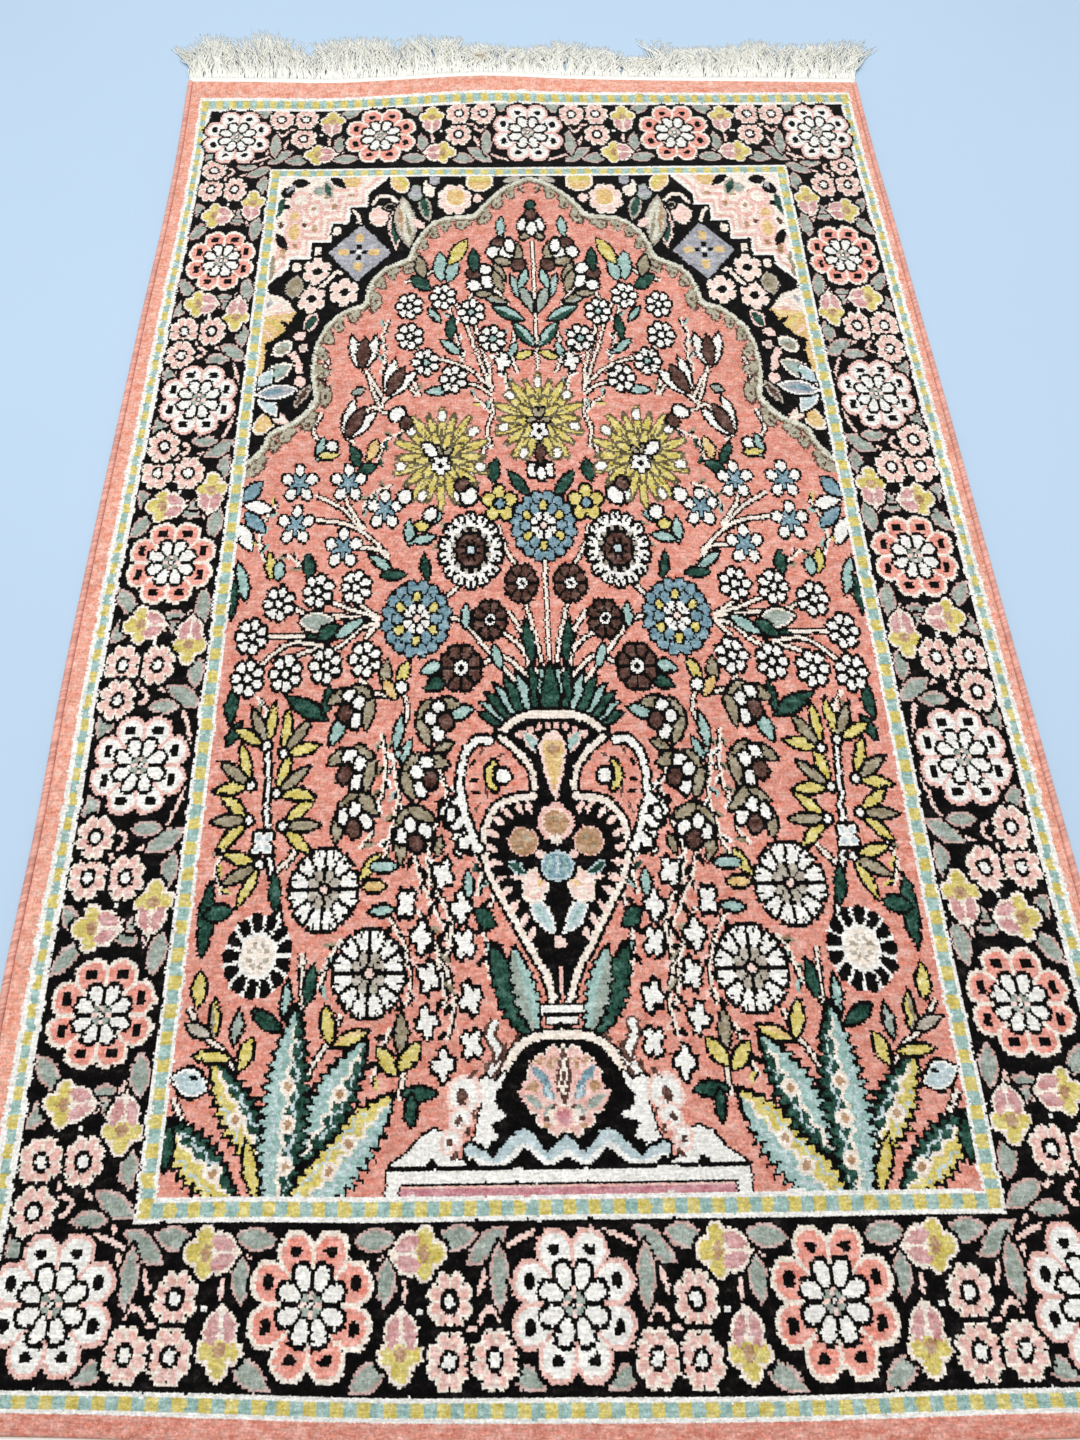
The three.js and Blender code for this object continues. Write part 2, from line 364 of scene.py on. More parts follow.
def burst(x, y, size, heart):
    """A big flower of long thin yellow petals, with small white ones among their tips."""
    ring(x, y, 20, 9, 20 * size, 8.5, 1.3, "straw", 1.7, edge="olive", thick=1.2)
    ring(x, y, 10, 18, 17 * size, 9.5, 2.2, "mustard", 1.7, edge="olive", thick=1.3)
    ring(x, y, 10, 0, 20.5 * size, 11.0, 2.3, "mustard", 1.7, edge="olive", thick=1.2)
    ring(x, y, 10, 0, 15 * size, 7.0, 0.6, "olive", 1.7, edge=None)
    ring(x, y, 9, 8, 9.5 * size, 6.5, 2.1, "mustard", 1.8, edge="olive", apart=0.7, thick=1.4)
    ring(x, y, 7, 12, 25.5 * size, 3.4, 2.4, "white", 2.2, edge="olive", thick=1.3)
    ring(x, y, 5, 6, 5.0, 3.0, 1.6, "khaki", 1.8, thick=1.4)
    ring(x, y + heart, 5, 18, 3.9, 2.3, 2.1, "white", thick=1.3)
    dot(x, y + heart, 1.7, 1.7, "black")


def bud(x, y, turn, hand):
    """A flower from the side: one brown petal between white ones, under khaki sepals."""
    for row in rows("""
        shape along across long wide lean colour
        leaf -8.5 7.0 8.0 2.8 25 khaki; leaf 9.0 -1.0 9.0 2.8 80 khaki; leaf 5.0 9.0 6.0 2.2 -30 khaki
        oval -3.0 7.0 3.8 2.9 20 white; oval 3.0 3.4 3.4 3.0 50 white; oval 1.5 -5.5 4.0 2.8 70 white
        oval -5.0 -1.5 4.2 3.6 60 brown
    """):
        lean = row["lean"] if hand > 0 else 180 - row["lean"]
        place = step(x, y, row["along"] * hand, row["across"], turn)
        part(row["shape"], *place, row["long"], row["wide"], turn + lean, row["colour"])


def fan(x, y, turn):
    """Three leaves fanned out from a white dot."""
    for aside, colour in ((38, "mustard"), (-38, "mustard"), (0, "khaki")):
        part("leaf", *step(x, y, 11.4, 0, turn + aside), 9.6, 2.35, turn + aside, colour)
    part("oval", x, y, 2.0, 1.8, 0, "white")


def tulip(x, y, turn):
    """A brown petal with a white one curved round each side."""
    for side in (-1, 1):
        part("leaf", *step(x, y, 1.5, 6.0 * side, turn), 11.5, 3.4, turn + 14 * side, "white")
    part("leaf", x, y, 11, 3.9, turn, "brown")


# The border's flowers
def bell(x, y, turn):
    """A tulip that points along its turn: two pink petals in front of a yellow cup with an
    amber heart, all with a light edge."""
    petals = rows("""
        shape along across long wide lean colour
        oval -8 0 4.6 3.8 0 mustard; oval -3.5 6 3.2 3.4 0 mustard; oval -3.5 -6 3.2 3.4 0 mustard
        oval -4 0 4.4 5 0 mustard; oval -3 0 2.6 3.2 0 tan; leaf 4.5 3.6 6.4 2.9 -16 pink
        leaf 4.5 -3.6 6.4 2.9 16 pink
    """)
    for grown, edge in ((1.5, "black"), (1.5, None), (0, None)):
        for row in petals:
            place = step(x, y, row["along"], row["across"], turn)
            sizes = row["long"] + grown, row["wide"] + grown
            colour = "cream" if grown else row["colour"]
            part(row["shape"], *place, *sizes, turn + row["lean"], colour, edge=edge)
        if grown:
            part("leaf", *step(x, y, 4, 0, turn), 10, 4.5, turn, "cream", edge=edge)


def small_rosette(x, y):
    """Eight light-edged pink petals round a black eye with a white heart."""
    ring(x, y, 8, 0, 6.9, 3.9, 3.2, "rose", 2.6, rim="cream", width=1.1, apart=0.5)
    dot(x, y, 4.5, 4.5, "black")
    dot(x, y, 2.6, 2.6, "white")


def big_rosette(x, y, kind, size, flat):
    """Eight joined petals, each with a black square, round a star of eight white ones."""
    rim, width = ("cream", 1.9) if kind == "coral" else ("rose", 1.8)
    ring(x, y, 8, 0, 17.6 * size, 9.6 * size, 8.8, kind, 2.5, rim=rim, width=width, flat=flat,
         apart=width / 2)
    for angle in np.radians(np.arange(22.5, 360, 45)):
        across, up = 20 * size * math.cos(angle), 20 * size * math.sin(angle) * flat
        wide, high = (2.1, 3.1) if abs(across) > abs(up) else (3.0, 2.0)
        dot(x - across, y + up, wide, high, "black", square=5)
    dot(x, y, 11.5, 11.5 * flat, "black")
    ring(x, y, 8, 0, 9.8 * size, 4.5 * size, 3.3, "white", 2.3, flat=flat, apart=0.65)
    dot(x, y, 4.9, 4.6 * flat, "sage")
    ring(x, y, 4, 45, 3.4, 1.6, 1.3, "blush", edge=None, flat=flat)
    dot(x, y, 2.2, 2.0 * flat, "black")
    dot(x, y, 1.1, 0.9 * flat, "white")


# Field: a cusped arch, drawn as its band's outer edge from the top down the left side
chart[:] = DYE["salmon"]
ARCH = path("""
    0 577.5, 10 574, 20 569, 30 561, 38 552.5, 45 544, 56 543, 68 541.5, 78 537, 86 528, 92 518, 95 508,
    104 504, 114 499, 121 491, 125 481, 127 471, 137 468, 147 462, 155 453, 160 442, 162 430, 161 416,
    158 402, 164 393, 172 387, 181 383, 188 379, 190 372, 194 366, 200 361
""")
fill([(0, FIELD_TOP), (FIELD_HALF, FIELD_TOP)] + ARCH[::-1], "black")
arch_curve = smooth(ARCH)
arch_place, x, y = around([(0, 350), (FIELD_HALF, FIELD_TOP)], 0)
gap = np.full(x.shape, np.inf)
round_arch = np.zeros(x.shape)
for number, (ax, ay) in enumerate(arch_curve):
    far = np.hypot(x - ax, y - ay)
    round_arch[far < gap] = number
    gap = np.minimum(gap, far)
below = inside([(0, 0), (FIELD_HALF, 0)] + ARCH[::-1], x, y) & (x < FIELD_HALF)

# Stems of the field
stems([path(points) for points in """
    106 265, 118 266, 134 267, 150 268, 160 272; 106 266, 118 273, 121 276;
    106 266, 122 270, 137 275, 144 274; 106 263, 116 260, 126 252, 134 248; 134 254, 150 256, 176 256;
    134 250, 148 248, 160 244; 140 251, 160 252, 178 240; 106 262, 112 256, 114 251;
    102 300, 108 305, 120 306; 103 303, 118 315, 132 321, 150 323; 120 318, 134 330, 150 338;
    118 318, 128 330, 131 336; 0 240, 0 260, 0 296; 4 238, 8 256, 14 275; 8 236, 18 250, 30 258;
    14 234, 28 244, 42 240; 12 236, 16 256, 24 268; 20 230, 36 246, 52 262, 62 266;
    88 225, 86 214, 92 203; 195 80, 186 68, 174 60, 168 50, 166 44; 116 76, 120 66, 126 58, 130 52;
    83 58, 83 48, 84 40; 197 40, 192 32, 186 26; 0 422, 0 440, 0 470, 0 500, 0 520;
    33 407, 35 425, 41 442, 44 455; 33 409, 46 420, 58 426, 72 430; 33 404, 42 410, 52 412, 58 412;
    33 408, 44 436, 52 458, 64 482; 110 402, 116 412, 122 420; 33 400, 32 392, 36 380, 34 368;
    14 420, 18 432, 16 448; 96 488, 80 494, 70 505; 50 470, 44 485, 38 500; 104 404, 109 400, 112 394;
    122 422, 117 408, 112 396; 122 392, 117 396, 112 394; 112 394, 108 392, 100 392;
    137 74, 137 88, 138 102; 156 140, 150 145, 146 150; 72 270, 58 282, 50 292; 30 318, 24 302, 18 294;
    60 342, 48 350, 36 372; 114 232, 108 226, 100 224; 20 470, 28 480, 34 486; 14 500, 18 512, 22 524;
    86 404, 92 412, 98 420; 128 372, 134 378, 130 388; 150 372, 156 380, 152 392
""".split(";")])
for one in """
    92 204, 93 190, 90 174, 93 158, 97 144: khaki teal white
    101 204, 98 190, 99 178, 103 168: khaki white
    62 200, 66 188, 62 176, 66 164, 72 148, 70 132: white black khaki
    80 148, 76 136, 68 122, 61 110, 60 98: black black rose
    66 130, 58 114, 61 98, 57 82, 60 66: black rose
    76 120, 67 106, 63 92, 61 80: black khaki
    92 118, 84 106, 80 92, 82 80: black rose
    36 128, 40 110, 38 92: black rose
    90 70, 94 60, 98 48: black mustard
    54 428, 58 444, 62 462, 66 474: white teal
    22 408, 24 420, 28 432, 26 448: teal white
    34 392, 40 398, 46 402: teal mustard
    88 384, 98 378, 108 372, 112 358: khaki green
    148 404, 152 416, 150 430: khaki rose
    102 344, 112 340, 120 330: khaki teal
    60 322, 66 312, 68 300: khaki white
    84 404, 88 416, 84 430, 88 440: khaki rose
    112 420, 110 432, 112 446, 108 458: rose teal
    182 300, 186 310, 184 322, 178 332: teal mustard
    150 288, 158 296, 166 302: rose khaki
    186 152, 190 140, 186 130: khaki mustard
    110 150, 104 158, 108 170: khaki mustard
    176 224, 170 216, 178 212: khaki green
    44 128, 42 140, 46 146: teal green
    118 108, 124 100, 128 88: khaki teal
""".strip().splitlines():
    points, colours = one.split(":")
    sprig(path(points), colours.split())
line([(150, 100), (152, 115), (156, 130), (160, 143), (163, 158), (165, 175), (166, 190), (168, 200)],
     1.0, "white")

# Spandrel: a stepped light corner, a grey diamond with a cross, and flowers on black
corner = [(113, 578), (124, 567), (129, 562), (129, 551), (142, 551), (142, 537), (155, 537),
          (155, 521), (170, 521), (170, 507), (186, 507), (186, 499), (200, 487)]
fill(corner + [(FIELD_HALF, FIELD_TOP)], "cream")
for inset, colour in ((1.0, "white"), (3.8, "rose"), (6.8, "cream"), (9.6, "rose"), (12.8, "cream"),
                      (15.6, "rose")):
    line([(x + inset, y + inset) for x, y in corner], 1.3, colour, None, curved=False)
for x, y in ((151, 530.5), (164.5, 514), (180, 500.5)):
    part("oval", x, y, 2.8, 3.2, 0, "cream", square=5)
fill([(133, 539), (160, 512), (133, 486), (105, 512)], "black")
fill([(133, 536), (157, 512), (133, 489), (108, 512)], "lavender")
ring(133, 512.5, 4, -45, 11.8, 3.8, 3.0, "amber", 3, edge=None)
ring(133, 512.5, 4, -45, 4.6, 2.0, 1.9, "black", 4, edge=None)
dot(133, 512.5, 2.0, 1.8, "white")
for x, y in ((142, 480), (166, 475), (164, 497)):
    ring(x, y, 6, 0, 7.2, 4.0, 3.8, "blush", 2.6, rim="cream", width=1.2, apart=0.3)
    dot(x, y, 2.2, 2.2, "black", square=5)
ring(60, 557, 8, 0, 9.4, 4.8, 4.4, "blush", rim="cream", width=1.3, apart=0.3)
dot(60, 557, 7, 7, "cream")
part("oval", 119, 543, 8.5, 9, 0, "blush", square=1.5, rim="cream", width=1.4)
line([(125, 553), (120, 560), (112, 560), (106, 554)], 1.4, "cream")
part("oval", 111, 551, 4, 3, 0, "black", rim="grey", width=1)
line([(139, 548), (136, 544), (134, 537)], 1.4, "cream")
line([(160, 484), (154, 490), (149, 496), (145, 495)], 1.4, "cream")
line([(183, 441), (176, 434), (171, 425), (169, 415)], 2.4, "blush")
part("oval", 169, 414, 4, 4.4, 0, "blush")
draw("""
    shape x y long wide turn colour edge rim width second
    oval 193 552 3 2 0 black -; oval 176 562 2.6 1.6 0 brown -; oval 162 560 2.2 1.4 0 tan -
    oval 177 536 2.4 1.6 0 brown -; oval 196 536 2.4 3 0 brown -; oval 188 549 2 1.6 0 rose -
    oval 163 545 3 1.6 40 rose -; oval 176 525 3 1.6 40 rose -; oval 192 512 2.4 4 0 tan -
    oval 182 558 7 6 0 cream rose rose 1.2; oval 171 549 6 7 0 cream rose rose 1.2
    oval 171 550 2 2 0 tan -; oval 186 543 7 5 100 amber rose blush 1.4
    oval 185 530 9 6 90 amber rose blush 1.4; oval 168 566 6 5 0 sage - blush 1
    leaf 161 567 7 3 -70 green grey; oval 169 533 3.4 2 90 tan -; oval 155 552 3 2 90 tan -
    oval 142 561.5 2.6 1.6 0 tan -; oval 183 518 2.4 2 0 tan rose; oval 142 575 7.5 6.5 0 amber blush
    leaf 154 574 9 3.6 -40 black -; oval 184 573 7 4 0 black -; oval 193 565 6 4.6 30 black -
    leaf 191 568 5 1.5 50 lavender -; leaf 194 522 9 3.6 -55 black -; leaf 198 551 10 3 80 green -
    oval 199 500 2.4 10 0 khaki -; oval 59 559 7.5 7 0 amber -; oval 42 558 3.6 3.6 0 blush
    leaf 106 532 18 4.6 95 green black blush 1.6; leaf 98 538 22 8.6 99 stone black grey 2.4
    leaf 88 536 7 3 140 blush -; leaf 102 540 15 1.8 98 tan -; leaf 95 532 14 1.4 104 khaki -
    leaf 83 550 13 5 107 green black grey 1.8; oval 91 563 7 6 90 lavender black sage 1.6
    oval 80 567 8 5.4 100 cream; oval 104 572 10 7 -50 amber black cream 1.2 mustard
    oval 76 574 4.5 4 0 lavender; oval 40 573 11.5 9 0 amber black cream 1.6 mustard
    leaf 14 575 8 2.4 15 grey; leaf 165 457 8 5 60 green black blush 1.6
    leaf 179.5 484.5 9.5 6.6 80 khaki black grey 1.4; oval 172 447 4 3.4 20 blush
    oval 184 438 8 5.6 30 sage black cream 1.6; oval 184 437 3 2.4 0 khaki -
    oval 169 438 3.4 3.2 0 grey black blush 1; oval 191 386 9.5 6.0 48 amber black cream 1.2
    leaf 181 389 8 3.8 -25 cream black rose 1.2; leaf 187 420 14 6.2 29 sage black cream 1.5
    leaf 194 415 9 5.0 60 ice black white 1; leaf 191 400 13 5.4 -50 ice black white 1.4
    leaf 185 407 15.5 5.2 8 lavender black white 1.5; leaf 187 407 9 1.6 6 blue -
    leaf 188 419.5 8 1.5 28 teal -; leaf 166.5 404 10 3.4 56 brown black grey 1.2
    oval 199 430 3 12 0 amber -
""")

fill([(186, 476), (200, 480), (200, 461), (177, 465)], "cream")
fill([(176, 465), (200, 462), (200, 441), (192, 444), (184, 452)], "amber")
draw("""
    shape x y long wide turn colour edge
    leaf 191 469 7 1.6 30 blush -; leaf 197 472 4 1.6 70 lavender -; leaf 187 464.5 9 1.0 12 rose -
    leaf 191 456 10 1.5 -35 mustard -; leaf 196 449 6 1.2 -40 blush -; leaf 184 456 5 1.6 -30 black -
""")

# The arch's band: a light line, then a straw one with a row of small curled lobes, which leave
# out its top
LOBE_PITCH, BAND_HALF, TOP_PLAIN = 14.5, 4.2, 8
lobe = (round_arch / LOBE_PITCH % 1 - 0.5) * LOBE_PITCH
leafy = np.maximum(oval(lobe, gap - 8.4, 3.7, 3.6), oval(lobe + 4.4, gap - 6.2, 2.6, 2.2))
leafy = np.where(round_arch > TOP_PLAIN, np.maximum(leafy, BAND_HALF - gap), BAND_HALF - gap)
for depth, least, colour in ((leafy, -1.2, "brown"), (leafy, 0, "straw"), (2.9 - gap, 0, "stone"),
                             (0.5 - np.abs(gap - 3.4), 0, "khaki"),
                             (1.3 - np.hypot(lobe - 0.6, gap - 8.2), 0, "brown")):
    chart[arch_place][below & (depth > least)] = DYE[colour]

# Plants of the lower corners: tall toothed leaves with a light spine of small flowers
for row in rows("""
    x y long wide turn left right
    182 14 26 9.5 140 mustard green; 163 32 28 9 124 mustard green; 113 14 36 12.5 47 mustard teal
    118 38 30 10 60 teal green; 141 32 46 12 88 teal green
"""):
    place, right, up = near(row["x"], row["y"], row["long"] + 4)
    along, across = turned(right, up, row["turn"])
    depth = leaf(along, across, row["long"], row["wide"], 5.0)
    dye(place, depth, -2.5, "black")
    dye(place, depth, 0, row["left"])
    dye(place, np.where(across < -0.8, depth, -np.inf), 0, row["right"])
    for offset, half, colour in ((4.6, 0.8, "ice"), (-5.2, 0.7, "ice"), (0.4, 1.0, "cream")):
        bent = np.abs(across + offset - 1.1 * np.sin(along * 0.7 + offset))
        dye(place, np.where(bent < half, depth, -np.inf), 1.8, colour)
for x, y in ((173, 9), (165, 31), (117, 10), (108, 21), (114, 42), (139, 12), (139, 29), (140, 45)):
    dot(x, y, 3.9, 3.9, "cream")
    dot(x, y, 2.0, 2.0, "tan")
part("leaf", 155, 10, 12, 2.8, 108, "mustard")
part("leaf", 190, 47, 10, 6, -20, "ice", rim="white", width=1.4)
dot(188, 49, 1.8, 1.2, "black")

# Leaves of the field, drawn a little smaller than the table says
LEAF_LONG, LEAF_WIDE = 0.93, 0.8
for row in rows("""
    x y long wide turn colour second
    198 20 10 3.6 90 green; 191 88 8 4 95 mustard; 189 70 8 3 160 grey; 181 75 9 3 95 mustard khaki
    169 71 8 2.6 85 sage; 180 58 10 3 175 mustard; 163 59 8 3.8 70 mustard; 154 74 9 3.6 -30 green
    133 89 9 3.2 80 green; 145 83 8 2.2 85 teal; 122 72 9 4 105 mustard; 110 66 10 3.2 20 mustard amber
    84 68 10 3.4 90 khaki; 91 56 8 4.4 -50 mustard; 79 58 8 4.4 50 mustard; 74 42 9 3.4 0 green
    78 35 7 3 90 green; 104 141 8 3 50 mustard; 96 141 8 3 0 teal; 101 132 7 3 0 amber
    96 121 7 2.4 5 teal; 49 132 7 2.8 90 teal; 40 117 7 4.4 -30 green; 35 103 6 3 -30 teal
    156 130 9 3.2 100 green; 192 118 17 4.6 90 green; 186 121 8 4 10 green; 142 258 8 3 20 green
    124 260 11 3.4 30 teal; 194 287 12 3.8 -70 teal; 198 277 11 2.6 90 green; 177 296 8 3.6 100 mustard
    171 293 6 4 90 teal; 152 295 8 4 100 green; 191 220 10 3.4 90 green; 146 218 14 4.4 -25 green
    134 222 8 3 80 green; 100 235 8 3.6 90 khaki; 89 236 7 3.6 60 mustard; 97 227 7 3.6 130 amber
    127 207 9 4 60 teal; 54 215 8 3.4 15 teal; 91 205 9 3 80 teal; 12 252 12 3 100 green
    72 238 7 3.4 20 teal; 68 230 8 3.6 20 green; 32 244 7 3 110 teal; 106 297 9 3 -30 teal
    98 290 8 3 0 green; 77 294 8 2.8 100 green; 51 266 7 2.8 90 teal; 32 353 8 4.6 80 green
    15 344 11 3.6 -50 green; 126 363 8 3.4 -60 green; 118 355 7 3.2 20 green; 115 367 8 4 70 amber
    150 368 8 3.8 80 teal; 145 364 7 3 0 mustard; 88 315 8 3.4 90 teal; 79 311 8 3 10 teal
    72 324 6 3.6 20 teal; 54 335 7 4 -40 rose grey; 47 337 6 3 50 grey; 62 452 9 3.4 85 green
    62 438 9 3.2 -35 teal; 70 407 10 3.2 5 teal; 17 436 6 3 60 teal; 9 432 7 3 20 mustard
    20 463 13 4.6 -25 green teal; 9 447 12 4.4 -50 green teal; 12 482 13 4.4 -65 teal sage
    24 533 9 3.4 84 teal; 127 407 5 2.6 20 sage; 30 474 9 3 -20 sage khaki; 26 496 9 3 -60 khaki
    38 478 7 2.6 0 khaki; 74 462 7 2.4 -50 teal; 108 172 6 2.4 80 khaki; 86 196 6 2.6 60 teal
    64 198 6 2.4 20 khaki; 188 206 7 2.8 60 green; 66 150 5 2.4 70 khaki
"""):
    row["long"], row["wide"] = LEAF_LONG * row["long"], LEAF_WIDE * row["wide"]
    part("leaf", **row)
part("leaf", 144, 263.5, 12, 5.6, -6, "sage", rim="cream", width=1.3)
part("leaf", 137, 258, 7, 3.2, 35, "green")
draw("""
    shape x y long wide turn colour
    oval 90 228 3.2 2.8 0 white; oval 143 370 3.4 2.8 0 white; oval 80 319 4.0 3.0 0 mustard
""")

# Flowers of the field
for x, y, turn in ((175, 181, 150), (174, 164, 182), (166, 143, 205), (160, 177, 35), (155, 161, 0),
                   (168, 200, 120), (158, 196, 48)):
    fan(x, y, turn)
ring(165, 153, 4, 0, 3.6, 3.0, 2.2, "ice", rim="white", width=0.8)
for x, y in ((184, 256), (184, 234), (161, 236), (137, 240), (113, 243), (169, 274), (145, 281),
             (121, 283), (93, 469), (68, 476), (92, 446), (60, 415)):
    floret(x, y)
for x, y in ((47, 464), (32, 444), (80, 427)):
    floret(x, y, "teal")
for x, y in ((163, 346), (130, 346), (105, 329), (163, 320), (131, 306)):
    star(x, y)
for x, y, turn in ((70, 92, 20), (71, 73, 60), (62, 54, 50), (48, 83, 70), (47, 63, 10), (74, 109, 40),
                   (51, 106, 10), (53, 122, 50), (83, 124, 0), (63, 137, 20), (60, 166, 40),
                   (52, 152, 10), (25, 427, 30)):
    cross(x, y, turn)
for x, y, turn, hand in ((116, 187, 0, 1), (113, 164, 60, 1), (76, 183, 10, -1), (79, 157, 80, 1),
                         (118, 217, 0, 1), (68, 210, 20, -1)):
    bud(x, y, turn, hand)
aster(129, 131)
aster(102, 94)
black_rose(162, 102)
brown_rose(54, 238, 1.02)
brown_rose(36, 264, 0.86)
brown_rose(15.5, 284, 0.86)
ring_rose(48, 304)
burst(0, 387, 1.0, -8)
draw("""
    shape x y long wide turn colour
    leaf 0 364 6.5 2.8 90 brown; oval 6 353 4.4 2.8 90 white; oval 0 351 4.0 2.6 90 white
""")
burst(68, 362, 1.08, -5)
part("leaf", 76, 367, 6.5, 3.4, -40, "white")
blue_rose(82, 265)
blue_rose(0, 318)
for x, y, turn in ((125, 434, 90), (101, 414, 60), (128, 386, 60)):
    tulip(x, y, turn)
draw("""
    shape x y long wide turn colour
    leaf 12 511 9 3.6 95 khaki; oval 11 501 4.8 4.2 0 brown; oval 26 519 5 4.2 15 brown
    oval 30 511.5 4.8 4.4 0 white; oval 20 511 5 4.4 0 white; oval 17.5 517 3.4 5.4 10 white
    oval 23 504 6 2.6 -10 khaki; oval 45 494.5 4.8 4.2 0 brown; oval 44.5 484.5 5 3.6 0 white
    oval 35 488 3.8 5.6 20 white; oval 36.5 497.5 4.4 3.4 -20 white; leaf 27 488 9 3 -70 khaki
    leaf 70 500 11.5 5 92 teal; leaf 61.5 497 9.5 4 72 teal; leaf 57 512 12 4.4 57 mustard
    leaf 45 505 9 3.4 92 green; leaf 6 474 11 3.4 112 sage; leaf 8 490 8 2.6 70 teal
    leaf 84.5 487 9 4 -35 green; leaf 85 500 9 4 105 khaki; oval 0 552 3.2 3.0 0 green
    oval 0 543.5 4.4 4.2 0 brown; oval 4.6 526 4.8 2.6 35 khaki; oval 7 535 2.6 5.4 -12 white
    oval 0 531 3.8 4.8 0 white
""")
ring(29, 332, 5, 54, 7.2, 4.0, 3.6, "mustard", 2.4)
part("oval", 29, 332, 3.0, 2.6, 0, "blue")
draw("""
    shape x y long wide turn colour
    leaf 194 341 8 4.2 45 blue; leaf 189 331 9 3.6 -10 white; leaf 190 322 9 3.6 -40 blue
    leaf 195 313 9 4 -60 white; oval 99 391 5.4 4.2 30 white; oval 93 385 4.2 3.6 30 brown
    oval 49 337 5.6 4.8 30 white; oval 54 344 4.2 3.4 30 brown; oval 75 326 4.4 3.8 30 white
    oval 92 337 4.6 3.8 30 white
""")

# Vase: a crown of leaves, a dark body with a light outline, scrolled handles and a stepped foot
for row in rows("""
    turn long wide colour
    168 13.6 3.6 green; 157 14.9 3.2 teal; 147 16.1 3.8 green; 136 16.7 3.2 teal; 126 17.4 3.8 green
    115 17.4 3.2 teal; 104 18.6 4 green; 96 18.6 3.4 teal; 90 19.8 5 green
"""):
    angle = math.radians(row["turn"])
    place = -29.7 * math.cos(angle), 207 + 13 * math.sin(angle) ** 0.7
    part("leaf", *place, row["long"], row["wide"], row["turn"], row["colour"])
fill(path("""
    0 216, 12 216, 22 213, 30 208, 35 203, 28 197, 20 192, 14 186, 13 178, 16 175, 28 174, 36 169,
    41 160, 42 150, 41 140, 37 131, 31 123, 25 114, 19 106, 14 100, 9 92, 7 82, 7 70, 0 70
"""), "salmon")
fill(path("""
    0 212, 10 212, 22 208, 29 203, 22 199, 14 192, 9 184, 9 176, 12 170, 26 169, 33 165, 37 157, 38 149,
    36 140, 32 132, 26 124, 20 115, 14 107, 8 100, 0 97
"""), "black")
line([(0, 214), (12, 214), (22, 211), (32, 204)], 1.8, "cream")
line([(31, 203), (22, 197), (15, 190), (12, 182), (12, 175)], 1.5, "cream")
line(path("""
    12 174, 24 172.5, 33 169, 39 160, 40.5 150, 38.5 140, 34 131, 28 122, 22 113, 16 104, 10 96, 5 84,
    4 78
"""), 1.7, "cream")
for x, y in ((15, 169), (20, 168.5), (27, 166), (32, 162), (35.5, 156), (36.5, 149), (35, 142), (32, 135),
             (28, 129), (24, 122), (19, 116), (15, 110)):
    part("leaf", x, y, 4.2, 1.6, math.degrees(math.atan2(143 - y, x - 4)), "blush", edge=None)
draw("""
    shape x y long wide turn colour edge rim width
    leaf 11.5 200 8.5 3.4 -42 teal black blush 1; drop 0 189 17 8.6 -90 amber black blush 2
    oval 0 197 3.6 2.6 0 tan -; oval 0 203 5.5 2.4 0 blush -; oval 0 161 8.2 7.2 0 tan rose blush 1.0
    oval 0 153 3.0 2.8 0 cream -; oval 18.5 152 8.2 7.4 0 tan - rose 0.7; oval 2 163 1.6 1.0 0 khaki -
    oval 17 154 1.8 1.1 0 khaki -; oval 21 150 1.5 0.9 0 khaki -
    leaf 22 139.5 6.5 2.6 -25 green black ice 0.8; leaf 21 135 6 1.4 -10 blush -
    leaf 9.5 118.5 11.5 4.4 -51 ice black white 1.2; leaf 10 119 7 1.0 -51 teal -
    oval 12.5 131.5 8.8 7.2 52 blush - cream 1.4; oval 13 129 3.4 1.8 30 cream -
    oval 10 133 2.2 1.4 60 amber -; oval 9 135 2.4 1.2 0 rose -; oval 0 126.5 4.6 5.6 0 black -
    oval 0 104.5 3.4 4.6 0 blush -; oval 0 140.5 9.2 7.2 0 blue black ice 1.2
    leaf 0 141 5.5 0.9 90 ice -; leaf 4.5 140.5 4.5 0.9 75 teal -; oval 9.5 146 2.6 1.8 0 blush -
""")
for x, y in ((2.6, 208.5), (8, 208), (13.5, 206.5), (19, 204)):
    dot(x, y, 1.9, 1.6, "rose", square=4)
HANDLE = path("37 201, 45 201, 51 195, 54 186, 54 177, 52 168, 49 160, 46 152")
line(HANDLE, 1.7, "white")
draw("""
    shape x y long wide turn colour
    oval 56 171 4.4 2.6 60 white; oval 55 161 4.0 2.6 30 white; oval 50 152 4.6 2.8 20 white
    oval 59 165 3.4 2.0 80 white; oval 44 149 3.0 2.0 0 white
""")
line(HANDLE, 1.6, "white", None)
for x, y, turn in ((47, 190, 50), (46, 182, 20), (45, 176, -20)):
    part("leaf", x, y, 3.4, 1.2, turn, "black", edge=None)
line([(35, 190), (37.5, 187), (37, 181), (34, 178)], 1.3, "mustard")
part("oval", 29.5, 184, 3.6, 3.2, 20, "white")
for x, y, turn in ((42, 196, 70), (39, 176, 100), (30, 194, 20), (44, 168, 60)):
    part("leaf", x, y, 3.2, 0.9, turn, "brown", edge=None)
part("leaf", 27, 85, 21, 7.0, 116, "green", teeth=5.0)
part("leaf", 19, 85, 19, 5.8, 108, "teal", teeth=5.0, second="sage")
fill([(12, 104), (6, 94), (3, 84), (0, 84), (0, 104)], "black")
part("leaf", 0, 90, 8, 1.4, 90, "rose", edge=None)
for low, high, half in ((77, 80, 11), (72, 75, 8)):
    block(half + 1, 0, low - 1, high + 1, "black")
    block(half, 0, low, high, "white")

